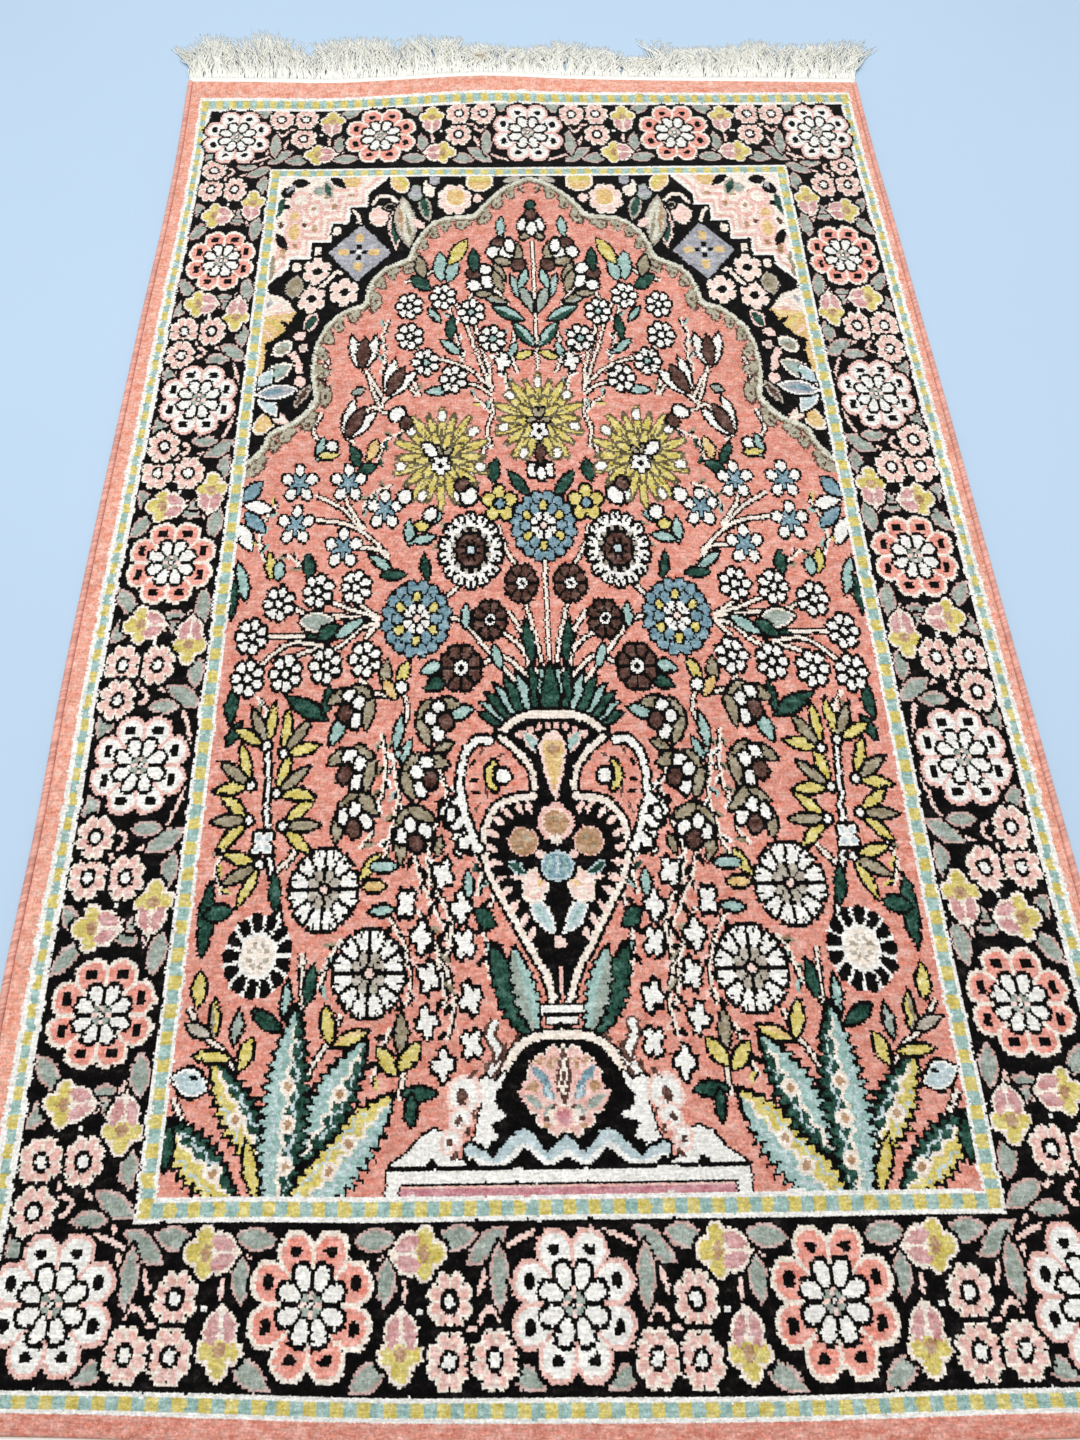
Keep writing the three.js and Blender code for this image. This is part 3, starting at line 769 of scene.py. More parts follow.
# Foot of the vase: a black dome with a palmette, scrolls, waves and a rectangular base
fill([(0, 68), (16, 67), (26, 60), (33, 48), (38, 34), (40, 24), (48, 16), (48, 11), (0, 11)], "black")
line([(0, 67), (14, 66), (23, 61.5), (29, 54), (32, 46)], 1.9, "cream")
ring(0, 43, 15, 0, 14.0, 5.6, 3.0, "rose", 2.2, edge="cream", apart=0.4, thick=0.8)
ring(0, 43, 7, 5, 15.5, 3.4, 2.2, "tan", 2.2, edge=None)
draw("""
    shape x y long wide turn colour edge
    oval 0 43 13 13.5 90 blush -; leaf 10.5 46 9.5 3.2 124 blue rose; leaf 8 42 5 1.2 122 ice -
    oval 6 55 3.4 2.4 60 tan rose; oval 16 44 3.4 2.6 20 tan rose; leaf 15.5 38 7 2.0 150 sage rose
    leaf 4.6 49 9 1.6 96 rose -; leaf 0 49 9 2.0 90 cream brown; leaf 0 48 5 0.9 90 brown -
    oval 8 34 3.6 2.2 30 sage rose; oval 0 32 10 4.6 0 cream -; oval 0 31.5 3.6 3.2 0 mauve rose
    oval 9.5 31 1.6 1.2 0 brown -; oval 5 36 1.4 1.1 0 brown -
""")
line([(36, 72), (37.5, 67), (34, 61), (34, 56), (38, 50), (41, 46)], 1.7, "white", "brown")
SCROLL = path("""
    30 51, 35 47, 40 49, 44 47, 44 42, 42 37, 44 30, 47 22, 50 14, 43 12, 38 17, 40 21, 34 23, 38 29,
    28 32, 34 36, 36 41, 31 46
""")
STEP = [(88, 12), (80, 17), (73, 24), (66, 27), (61, 25), (60, 19), (54, 14), (47, 12)]
for points in (SCROLL, STEP):
    line(points + points[:1], 1.2, "black", None, curved=False)
    fill(points, "white")
for x, y, long, wide in ((51, 41, 7.6, 7.0), (53, 31, 4.6, 4.2), (57.5, 22, 4.4, 3.6)):
    part("oval", x, y, long, wide, 60, "white", edge="blush")
    part("oval", x + 1, y - 0.5, long * 0.46, wide * 0.42, 60, "brown", edge=None)
    dot(x - 1.5, y - 2.5, 1.4, 1.2, "rose")
for x, y, turn in ((24, 65, 60), (30, 61, 80), (34, 56, 60), (40, 53, 100), (47, 50, 30),
                   (46, 33, 90), (49, 26, 70), (56, 16, 40)):
    part("leaf", x, y, 3.0, 1.3, turn, "brown", edge=None)
line([(48, 18), (43, 16), (36, 12.5), (29, 19), (21, 24), (14, 18), (9, 14.5), (4, 18), (0, 21)],
     2.6, "ice")
line([(48, 15), (36, 12), (28, 15), (21, 20), (12, 14), (9, 12.5), (0, 17)], 1.2, "white", None)
for x in (67, 47, 22, 0):
    fill([(x - 4, 11), (x, 15.5), (x + 4, 11)], "black")
block(90, 0, 0, 12, "black")
block(89, 0, 0, 11, "white")
block(89, 0, 10, 11, "black")
block(83, 0, 0, 5, "black")
block(82, 0, 0, 3, "mauve")
block(82, 0, 3, 4, "rose")


# Border: eight-petalled rosettes by turns white and coral, with sprays between them. A spray's
# places run along from the white one, and in from the border's middle line.
END_LEAVES = rows("""
    along in long wide lean
    40 21 12 4.4 -36; 34.5 9.5 12 4.2 88; 54.5 24 10 4.4 -10; 93.5 23.5 10 4.3 -4; 87.5 8.5 9 4.2 95
    94.5 -24.5 10 4.3 -30; 22.5 -24.5 9 3.8 25
""")
SIDE_LEAVES = rows("""
    along in long wide lean
    39 20 11 4.6 -62; 33 9 9 3.6 90; 54 24.5 9 4.4 -8; 94 24 10 4.6 -8; 86.5 6.5 7 3.4 75
    80 10 6 3.2 130; 96 -22.5 10 4.2 -42; 79 -23 9 4.2 35; 23.5 -23.5 8 4.4 20
""")
SPRAY_LONG, SPRAY_WIDE = 1.06, 1.12
STEMS = [[(10, 27), (20, 25), (28, 22), (34, 19)], [(40, 18), (42, 10), (45, 4), (50, 1)],
         [(34, -10), (36, -3), (41, -2), (46, -10)], [(84, 17), (80, 11), (78.5, 5), (80, -2)],
         [(98, 26), (92, 18), (86, 16)], [(46, -8), (54, -9)]]


def spray(at, turn, hand, leaves, low_bell):
    """What lies between a white and a coral rosette. Hand is -1 where that is mirrored."""
    for points in STEMS:
        line([at(*point) for point in points], 1.05, "blush")
    for row in leaves:
        place = at(row["along"], row["in"])
        lean = turn + row["lean"] * hand
        sizes = row["long"] * SPRAY_LONG, row["wide"] * SPRAY_WIDE
        part("leaf", *place, *sizes, lean, "sage", rim="dust", width=1.4)
    bell(*at(73, 18.5), turn)
    bell(*at(*low_bell), turn + 90 * hand)
    for along, inward in ((57.5, 1.5), (57.5, -19), (37, -18.5)):
        small_rosette(*at(along, inward))
    dot(*at(71.5, -2), 1.5, 1.3, "white")


def guard(left, low, high, pairs_across, pairs_up, side_edge):
    """A stripe round the rug: white, squares of two dyes by turns, white. Squares of the
    first dye lie at the corners and at the middle line."""
    up, across = np.mgrid[low:high, 0:left].astype(float) + 0.5
    depth = np.minimum.reduce([left - across, up - low, high - up])
    view = chart[low - FOOT:high - FOOT, :left]
    view[depth < GUARD] = DYE["white"]
    half = GUARD / 2
    flat = np.minimum(up - low, high - up) < GUARD
    pairs = np.where(flat, across / (left - half) * pairs_across,
                     (up - low - half) / (high - low - GUARD) * pairs_up)
    squares = np.where(np.abs(pairs - np.round(pairs)) < 0.25, DYE["mustard"], DYE["teal"])
    edge = np.where(flat, 2, side_edge)
    middle = (depth > edge) & (depth < GUARD - edge)
    view[middle] = squares[middle]


for low, high in ((FOOT + MARGIN, -GUARD), (FIELD_TOP + GUARD, HEAD - MARGIN)):
    block(OUTER, 0, low, high, "black")
block(OUTER, FIELD_HALF + GUARD, FOOT + MARGIN, HEAD - MARGIN, "black")
NEAR_ROW, FAR_ROW = -40, 621
SIDE_ROSETTES = (NEAR_ROW, 78, 191, 298, 402, 507, FAR_ROW)
SIDE_LINE, CORNER_ROSETTE, SPRAY_LENGTH = 240, 243, 122
for number, (low, high) in enumerate(zip(SIDE_ROSETTES[:-1], SIDE_ROSETTES[1:])):
    white, coral = (low, high) if number % 2 == 0 else (high, low)
    up = coral > white

    def on_side(along, inward, white=white, coral=coral):
        """A place of a spray between two rosettes of a long side."""
        return SIDE_LINE - inward, white + (coral - white) * along / SPRAY_LENGTH

    spray(on_side, 90 if up else -90, -1 if up else 1, SIDE_LEAVES, (82, -9))
for middle, inward_is in ((NEAR_ROW, 1), (FAR_ROW, -1)):
    for white, way in ((0, 1), (CORNER_ROSETTE, -1)):

        def on_end(along, inward, white=white, way=way, middle=middle, inward_is=inward_is):
            """A place of a spray between two rosettes of an end."""
            return white + way * along, middle + inward * inward_is

        spray(on_end, 180 if way > 0 else 0, -inward_is * way, END_LEAVES, (80, -13.5))
guard(FIELD_HALF + GUARD, -GUARD, FIELD_TOP + GUARD, pairs_across=17, pairs_up=49, side_edge=2.2)
guard(OUTER, FOOT + MARGIN, HEAD - MARGIN, pairs_across=23, pairs_up=61, side_edge=2.9)
for number, y in enumerate(SIDE_ROSETTES[1:-1]):
    big_rosette(SIDE_LINE, y, "white" if number % 2 else "coral", size=1.03, flat=0.89)
for y in (NEAR_ROW, FAR_ROW):
    for x, kind in ((CORNER_ROSETTE, "white"), (SPRAY_LENGTH, "coral"), (0, "white")):
        big_rosette(x, y, kind, size=1.11, flat=0.95)
# The side margins and the far one take the lighter peach as painted sheen on the silk; the near margin
# stays salmon.
block(LEFT_EDGE, OUTER, FOOT, HEAD, "peach_painted_sheen")
block(LEFT_EDGE, 0, FOOT, FOOT + MARGIN, "salmon")
block(LEFT_EDGE, 0, HEAD - MARGIN, HEAD, "peach_painted_sheen")
chart = np.concatenate([chart[:, ::-1], chart[:, :RIGHT_EDGE]], 1)


def spread(rng, shape, size):
    """Noise from -1 to 1 on a grid: random values every size cells, with smooth steps between."""
    wide = [int(length / size) + 3 for length in shape]
    values = rng.uniform(-1, 1, wide)
    places = [np.arange(length) / size + start for length, start in zip(shape, rng.uniform(0, 1, 2))]
    low = [place.astype(int) for place in places]
    share = [(place - base) ** 2 * (3 - 2 * (place - base)) for place, base in zip(places, low)]
    (r, c), (up, on) = low, share
    left = values[np.ix_(r, c)] * (1 - up[:, None]) + values[np.ix_(r + 1, c)] * up[:, None]
    right = values[np.ix_(r, c + 1)] * (1 - up[:, None]) + values[np.ix_(r + 1, c + 1)] * up[:, None]
    return left * (1 - on) + right * on


# The weaver's hand: curves wander by a knot or so, and now and then a whole row is off by one.
rng = np.random.default_rng(31)
ROWS, COLUMNS = chart.shape
WANDER, ROW_SLIP = 0.6, 0.3
drift_across = WANDER * spread(rng, chart.shape, size=5) + ROW_SLIP * rng.normal(size=(ROWS, 1))
drift_up = WANDER * spread(rng, chart.shape, size=5)
row, column = np.mgrid[:ROWS, :COLUMNS]
row = np.clip(row + np.round(drift_up).astype(int), 0, ROWS - 1)
column = np.clip(column + np.round(drift_across).astype(int), 0, COLUMNS - 1)
chart = chart[row, column]

# Where the knots lie. The middle of the design is straight. Outside it the knots spread out to
# the slab's own outline, which is read from the CAD solid. The three rows inside the field come
# from the pitch of the guard's squares along the rug.
KNOTS_UP = rows("""
    knot up
    0 -650; 10 -637; 20 -624; 81 -527; 91 -512; 169 -393; 271 -219.2; 443 91.6; 669 504; 679 518
    740 625; 750 648.5; 760 676
""")
SHARE_LEFT = rows("knot share; 0 0; 10 0.1105; 20 0.2435; 80 1")
SHARE_RIGHT = rows("knot share; 500 0; 560 0.798; 570 0.934; 576 1")
KNOTS_MIDDLE = rows("knot across; 80 -282.15; 90 -268.6; 490 268.6; 500 282.15")
SKEWED = rows("knot share; 690 0; 740 1; 750 1; 760 0")
STRAIGHT_LEFT, STRAIGHT_RIGHT = 80, 500
STRAIGHT_LOW, STRAIGHT_HIGH = 81, 679
FAR_SKEW = 0.006
EDGE_LOW, EDGE_HIGH = 0.0008, 0.0036
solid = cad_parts["pile"].data
corners = np.empty(len(solid.vertices) * 3)
solid.vertices.foreach_get("co", corners)
corners = corners.reshape(-1, 3)
outline = np.unique(corners[np.abs(corners[:, 2] - EDGE_LOW) < 1e-4][:, :2].round(6), axis=0)


def side_of(axis, end, depth):
    """The outline's points within depth of its lowest place on an axis (end -1) or its highest
    (end 1), in order along the other axis."""
    edge = (outline[:, axis] * end).max()
    points = outline[outline[:, axis] * end > edge - depth]
    return points[points[:, 1 - axis].argsort()]


left_side, right_side = side_of(0, -1, depth=0.015), side_of(0, 1, depth=0.015)
near_side, far_side = side_of(1, -1, depth=0.02), side_of(1, 1, depth=0.025)


def between(table, knot, column):
    """A table's column at places between its knots, in the table's own units."""
    values = np.array([row[column] for row in table])
    return np.interp(knot, [row["knot"] for row in table], values)


def cloth(u, v):
    """Where on the floor the knots u from the left and v from the near end lie."""
    plan_y = between(KNOTS_UP, v, "up") / 1000 + PLAN_TO_FRAME.y
    ends = [KNOTS_UP[end]["up"] / 1000 + PLAN_TO_FRAME.y for end in (0, -1)]
    guards = [KNOTS_MIDDLE[end]["across"] / 1000 + PLAN_TO_FRAME.x for end in (0, -1)]
    middle = between(KNOTS_MIDDLE, u, "across") / 1000 + PLAN_TO_FRAME.x
    y = plan_y

    # The sides are read at y and the ends at x, so both settle in a few rounds.
    for _ in range(3):
        left = np.interp(y, left_side[:, 1], left_side[:, 0])
        right = np.interp(y, right_side[:, 1], right_side[:, 0])
        from_left = left + (guards[0] - left) * between(SHARE_LEFT, u, "share")
        to_right = guards[1] + (right - guards[1]) * between(SHARE_RIGHT, u, "share")
        x = np.where(u < STRAIGHT_LEFT, from_left, middle)
        x = np.where(u > STRAIGHT_RIGHT, to_right, x)
        near_bow = np.interp(x, near_side[:, 0], near_side[:, 1]) - ends[0]
        far_bow = np.interp(x, far_side[:, 0], far_side[:, 1]) - ends[1]
        y = plan_y + near_bow * np.clip(1 - v / STRAIGHT_LOW, 0, 1)
        y = y + far_bow * np.clip((v - STRAIGHT_HIGH) / (ROWS - STRAIGHT_HIGH), 0, 1)
        y = y + FAR_SKEW * (2 * u / COLUMNS - 1) * between(SKEWED, v, "share")
    return x, y


# The slab's sheets: a line of corners every four knots, and more where its edge is rounded.
# Away from the edge the cloth wanders sideways, and its pile rises and falls.
CELL = 4
SIDEWAYS, UP_AND_DOWN, FIRM_EDGE = 0.0009, 0.00025, 30
SHOULDER = np.array([0, 0.3, 0.9, 2.0])
FALL = np.array([EDGE_HIGH, 0.0045, 0.0049, 0.0050])
RISE = np.array([EDGE_LOW, 0.0002, 0, 0])
lines_across = np.unique(np.r_[SHOULDER, np.arange(CELL, COLUMNS, CELL), COLUMNS - SHOULDER])
lines_up = np.unique(np.r_[SHOULDER, np.arange(CELL, ROWS, CELL), ROWS - SHOULDER])
v, u = np.meshgrid(lines_up, lines_across, indexing="ij")
x, y = cloth(u, v)
inward = np.minimum.reduce([u, COLUMNS - u, v, ROWS - v])
loose = np.clip(inward / FIRM_EDGE, 0, 1)
x = x + SIDEWAYS * spread(rng, x.shape, size=22) * loose
y = y + SIDEWAYS * spread(rng, x.shape, size=22) * loose
top = np.interp(inward, SHOULDER, FALL) + UP_AND_DOWN * (spread(rng, x.shape, size=9) - 0.6) * loose
foot = np.interp(inward, SHOULDER, RISE)
count = x.size
points = np.concatenate([np.stack([x, y, foot], -1), np.stack([x, y, top], -1)]).reshape(-1, 3)
index = np.arange(count).reshape(x.shape)
quads = np.stack([index[:-1, :-1], index[:-1, 1:], index[1:, 1:], index[1:, :-1]], -1).reshape(-1, 4)
rim = np.concatenate([index[0, :-1], index[:-1, -1], index[-1, :0:-1], index[:0:-1, 0]])
wall = np.stack([rim, np.roll(rim, -1), np.roll(rim, -1) + count, rim + count], -1)
faces = np.concatenate([quads[:, ::-1], wall, quads + count])
mesh = bpy.data.meshes.new("pile_knotted")
mesh.from_pydata(points, [], faces)
mesh.shade_smooth()
mesh.uv_layers.new(name="OFBake")
flat = np.stack([u / COLUMNS, v / ROWS], -1).reshape(-1, 2)
mesh.uv_layers["OFBake"].data.foreach_set("uv", flat[faces.ravel() % count].ravel())

# Each face holds the dyes of its four by four knots and of the knots round them. Three knots
# of a column are the digits of one whole number to a base, and a colour has four such.
BASE = 32
digits = BASE ** np.arange(3)
middle_uv = flat[faces % count].mean(1)
cell_up = np.clip((middle_uv[:, 1] * ROWS / CELL).astype(int), 0, ROWS // CELL - 1)
cell_on = np.clip((middle_uv[:, 0] * COLUMNS / CELL).astype(int), 0, COLUMNS // CELL - 1)
padded = np.pad(chart, 1, mode="edge").astype(int)
threes = sum(padded[k:k + ROWS] * digit for k, digit in enumerate(digits))
KNOT_SETS = ("knots_left", "knots_middle", "knots_right")
for number, name in enumerate(KNOT_SETS):
    values = np.empty((len(faces), 2, 2))
    for column in (0, 1):
        for half in (0, 1):
            line_of, column_of = cell_up * CELL + 3 * half, cell_on * CELL + 2 * number + column
            values[:, column, half] = threes[line_of, column_of]
    mesh.attributes.new(name, "FLOAT_COLOR", "FACE").data.foreach_set("color", values.ravel())
pile = bpy.data.objects.new("pile_knotted", mesh)
bpy.context.scene.collection.objects.link(pile)


def add(tree, kind, *inputs, out=0, **settings):
    """A shader node with its settings, and with its inputs joined or set, in order or by the
    names that a dict gives. Gives one of its outputs."""
    made = tree.nodes.new("ShaderNode" + kind)
    for name, value in settings.items():
        setattr(made, name, value)
    named = inputs[0].items() if inputs and isinstance(inputs[0], dict) else enumerate(inputs)
    for name, value in named:
        if isinstance(value, bpy.types.NodeSocket):
            tree.links.new(value, made.inputs[name])
        else:
            made.inputs[name].default_value = value
    return made.outputs[out]


def sums(tree, operation, *inputs):
    """The result of a Math node."""
    return add(tree, "Math", *inputs, operation=operation)


def new_material(name):
    """A material with no nodes yet, and its tree."""
    material = bpy.data.materials.new(name)
    material.use_nodes = True
    material.node_tree.nodes.clear()
    return material, material.node_tree


def finish_material(tree, **inputs):
    """The Principled shader and the output."""
    named = {name.replace("_", " "): value for name, value in inputs.items()}
    shader = add(tree, "BsdfPrincipled", named)
    tree.links.new(shader, tree.nodes.new("ShaderNodeOutputMaterial").inputs["Surface"])


def scaled(tree, colour, factor):
    """A colour or place times a number."""
    return add(tree, "VectorMath", {"Vector": colour, "Scale": factor}, operation="SCALE")


def split(tree, vector, number):
    """One coordinate of a vector."""
    return add(tree, "SeparateXYZ", vector, out=number)


def in_four(tree, number):
    """Where in its cell of four knots a place lies, from 0 to 4."""
    share = sums(tree, "FRACT", sums(tree, "DIVIDE", number, float(CELL)))
    return sums(tree, "MULTIPLY", share, float(CELL))


material, tree = new_material("silk_pile")
place = add(tree, "UVMap", uv_map="OFBake")
knot_place = add(tree, "VectorMath", place, (COLUMNS, ROWS, 0), operation="MULTIPLY")

# The tips of the silk spread, so each colour's edge is ragged by less than a knot.
STRAY, FARTHEST = 2.2, 0.65
tip_noise = {"Vector": knot_place, "Scale": 1.15, "Detail": 3.0, "Roughness": 0.75}
tips = add(tree, "TexNoise", tip_noise, out="Color")
stray = scaled(tree, add(tree, "VectorMath", tips, (0.5, 0.5, 0.5), operation="SUBTRACT"), STRAY)
stray = add(tree, "VectorMath", stray, 3 * (FARTHEST,), operation="MINIMUM")
stray = add(tree, "VectorMath", stray, 3 * (-FARTHEST,), operation="MAXIMUM")


def knot_number(tree, axis):
    """Which knot of its cell a place lies in, where the knot before the cell is number 0."""
    number = sums(tree, "ADD", in_four(tree, split(tree, knot_place, axis)), 1.0)
    return sums(tree, "FLOOR", sums(tree, "ADD", number, split(tree, stray, axis)))


column, line_up = knot_number(tree, 0), knot_number(tree, 1)
half = sums(tree, "GREATER_THAN", line_up, 2.5)
channel = sums(tree, "ADD", sums(tree, "MULTIPLY", column, 2.0), half)
pack = None
for number, name in enumerate(KNOT_SETS):
    packs = add(tree, "Attribute", attribute_name=name).node
    parts = add(tree, "SeparateColor", packs.outputs["Color"]).node
    for place_in, source in enumerate([*parts.outputs[:3], packs.outputs["Alpha"]]):
        mask = sums(tree, "COMPARE", channel, float(4 * number + place_in), 0.5)
        chosen = sums(tree, "MULTIPLY", source, mask)
        pack = chosen if pack is None else sums(tree, "ADD", pack, chosen)
digit = sums(tree, "SUBTRACT", line_up, sums(tree, "MULTIPLY", half, 3.0))
divisor = sums(tree, "ROUND", sums(tree, "POWER", float(BASE), digit))
number = sums(tree, "FLOOR", sums(tree, "DIVIDE", pack, divisor))
number = sums(tree, "MODULO", number, float(BASE))
ramp_place = sums(tree, "DIVIDE", sums(tree, "ADD", number, 0.5), float(BASE))
knot_dye = add(tree, "ValToRGB", ramp_place)
ramp = knot_dye.node.color_ramp
ramp.interpolation = "CONSTANT"
for index, colour in enumerate(DYES.values()):
    stop = ramp.elements[index] if index < 2 else ramp.elements.new(index / BASE)
    stop.position = index / BASE
    stop.color = (*colour, 1)

# Silk: each knot takes the light a little differently and took up more or less dye, which is
# a power of its colour. Rows differ where the dye bath changed. Short dashes of a row get painted
# shade or painted light where they sink or stand, and broad soft patches of painted shade and
# light stand for where the nap lies one way or the other.
strayed = add(tree, "VectorMath", knot_place, stray, operation="ADD")
whole = add(tree, "VectorMath", strayed, operation="FLOOR")
speck = add(tree, "TexWhiteNoise", whole)

# Unevenness, which all the silk and the floor have: noise on a stretched place, and a factor
# that it moves up and down from 1 by at most half the amount.
uneven = bpy.data.node_groups.new("uneven", "ShaderNodeTree")
for name, kind in (("Place", "Vector"), ("Stretch", "Vector"), ("Detail", "Float"),
                   ("Amount", "Float")):
    uneven.interface.new_socket(name, in_out="INPUT", socket_type="NodeSocket" + kind)
for name in ("Noise", "Factor"):
    uneven.interface.new_socket(name, in_out="OUTPUT", socket_type="NodeSocketFloat")
given = uneven.nodes.new("NodeGroupInput").outputs
stretched = add(uneven, "VectorMath", given["Place"], given["Stretch"], operation="MULTIPLY")
noise = add(uneven, "TexNoise", {"Vector": stretched, "Scale": 1.0, "Detail": given["Detail"]})
least = sums(uneven, "MULTIPLY_ADD", given["Amount"], -0.5, 1.0)
factor = sums(uneven, "MULTIPLY_ADD", noise, given["Amount"], least)
result = uneven.nodes.new("NodeGroupOutput").inputs
uneven.links.new(noise, result["Noise"])
uneven.links.new(factor, result["Factor"])


def unevenness(tree, place, stretch, detail, amount=0.0):
    """The outputs of that group, placed in a material."""
    return add(tree, "Group", place, stretch, detail, amount, node_tree=uneven).node.outputs


tone = sums(tree, "MULTIPLY_ADD", speck, 0.32, 0.84)
# Of the factors below, the first is the dye bath's rows. The second paints broad patches of shade and
# light for the nap, and the third paints shade and light on short dashes of a row.
for stretch, detail, amount in (((0.004, 0.16, 0), 3.0, 0.30), ((0.012, 0.022, 0), 2.0, 0.20),
                                ((0.20, 0.85, 0), 1.0, 0.80), ((0.55, 0.55, 0), 1.0, 0.50)):
    patches = unevenness(tree, knot_place, stretch, detail, amount)
    tone = sums(tree, "MULTIPLY", tone, patches["Factor"])
other_place = add(tree, "VectorMath", whole, (0.5, 0.5, 7.0), operation="ADD")
strength = sums(tree, "MULTIPLY_ADD", add(tree, "TexWhiteNoise", other_place), 0.50, 0.75)
baths = unevenness(tree, knot_place, (0.13, 0.26, 0), 3.0, 1.5)["Factor"]
strong = add(tree, "Gamma", knot_dye, sums(tree, "MULTIPLY", strength, baths))
dyed = scaled(tree, strong, tone)
tuft = None
for axis in (0, 1):
    across_knot = sums(tree, "FRACT", split(tree, strayed, axis))
    bow = sums(tree, "SINE", sums(tree, "MULTIPLY", across_knot, math.pi))
    tuft = bow if tuft is None else sums(tree, "MULTIPLY", tuft, bow)
silk_place = add(tree, "TexCoord", out="Object")
fibre = unevenness(tree, silk_place, (1900, 1900, 1900), 2.0)["Noise"]
height = sums(tree, "MULTIPLY_ADD", tuft, 0.5, sums(tree, "MULTIPLY", speck, 0.5))
height = sums(tree, "MULTIPLY_ADD", fibre, 0.5, height)
normal = add(tree, "Bump", {"Strength": 0.5, "Distance": 0.0008, "Height": height})
finish_material(tree, Base_Color=dyed, Roughness=0.55, Specular_IOR_Level=0.05, Sheen_Weight=0.04,
                Sheen_Roughness=0.4, Normal=normal)
mesh.materials.append(material)
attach(pile, "root")
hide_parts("pile")


# Side cords: silk wound round and round the outermost warps. Each wrap is a ridge that slants
# a little, and the cord's centre line is read from its CAD solid.
WRAP_PITCH, WRAP_SLANT, GROOVE = 0.0017, 0.45, 0.09
RINGS_A_WRAP = 3
CORD_HEIGHT = 0.0055
CORD_ROUND = np.array([(0.32, 0), (0.5, 0.26), (0.5, 0.58), (0.33, 0.9), (0, 1), (-0.33, 0.9),
                       (-0.5, 0.58), (-0.5, 0.26), (-0.32, 0)])
cord_material, tree = new_material("silk_cord")
place = add(tree, "UVMap", uv_map="wraps")
wrap = sums(tree, "FLOOR", split(tree, place, 1))
speck = add(tree, "TexWhiteNoise", add(tree, "CombineXYZ", wrap))
silk_place = add(tree, "TexCoord", out="Object")
fibre = unevenness(tree, silk_place, (5200, 900, 1800), 2.0, 0.3)
patches = unevenness(tree, silk_place, (3, 14, 3), 3.0, 0.5)
shade = add(tree, "ValToRGB", speck)
stops = shade.node.color_ramp.elements
stops[0].color, stops[1].color = (0.58, 0.245, 0.19, 1), (0.88, 0.46, 0.37, 1)
dyed = scaled(tree, shade, sums(tree, "MULTIPLY", fibre["Factor"], patches["Factor"]))
normal = add(tree, "Bump", {"Strength": 0.5, "Distance": 0.0002, "Height": fibre["Noise"]})
finish_material(tree, Base_Color=dyed, Roughness=0.5, Specular_IOR_Level=0.4, Sheen_Weight=0.2,
                Normal=normal)
for side in ("left", "right"):
    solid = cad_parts["side_cord_" + side].data
    corners = np.empty(len(solid.vertices) * 3)
    solid.vertices.foreach_get("co", corners)
    corners = np.unique(corners.reshape(-1, 3).round(6), axis=0)
    rings = corners[corners[:, 1].argsort()].reshape(-1, len(CORD_ROUND), 3)
    centre, reach = rings.mean(1), np.ptp(rings[:, :, 0], 1)
    first, last = rings[0, :, 1].min(), rings[-1, :, 1].max()
    stations = np.arange(first, last, WRAP_PITCH / RINGS_A_WRAP)
    ridge = 1 - GROOVE * (np.arange(len(stations)) % RINGS_A_WRAP == 0)
    ridge = ridge * rng.uniform(0.96, 1.0, len(stations))
    middle = np.interp(stations, centre[:, 1], centre[:, 0])
    wide = np.interp(stations, centre[:, 1], reach)
    across = CORD_ROUND[:, 0] * wide[:, None] * ridge[:, None]
    x = middle[:, None] + across
    y = np.clip(stations[:, None] + WRAP_SLANT * across, stations[0], stations[-1])
    z = CORD_ROUND[:, 1] * CORD_HEIGHT * ridge[:, None]
    around_count = len(CORD_ROUND)
    index = np.arange(x.size).reshape(x.shape)
    after = np.roll(index, -1, 1)
    skin = np.stack([index[:-1], index[1:], after[1:], after[:-1]], -1).reshape(-1, 4)
    mesh = bpy.data.meshes.new("cord_wrapped_" + side)
    mesh.from_pydata(np.stack([x, y, z], -1).reshape(-1, 3), [],
                     [*skin.tolist(), index[0].tolist(), index[-1, ::-1].tolist()])
    mesh.shade_smooth()
    wraps = np.zeros((len(mesh.loops), 2))
    corner_of = np.empty(len(mesh.loops), int)
    mesh.loops.foreach_get("vertex_index", corner_of)
    wraps[:, 0] = (corner_of % around_count) / around_count
    wrap_of = np.arange(len(skin)) // around_count / RINGS_A_WRAP + 0.01
    wraps[:len(skin) * 4, 1] = np.repeat(wrap_of, 4)
    mesh.uv_layers.new(name="wraps").data.foreach_set("uv", wraps.ravel())
    mesh.materials.append(cord_material)
    wound = bpy.data.objects.new("cord_wrapped_" + side, mesh)
    bpy.context.scene.collection.objects.link(wound)
    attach(wound, "root")
    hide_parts("side_cord_" + side)


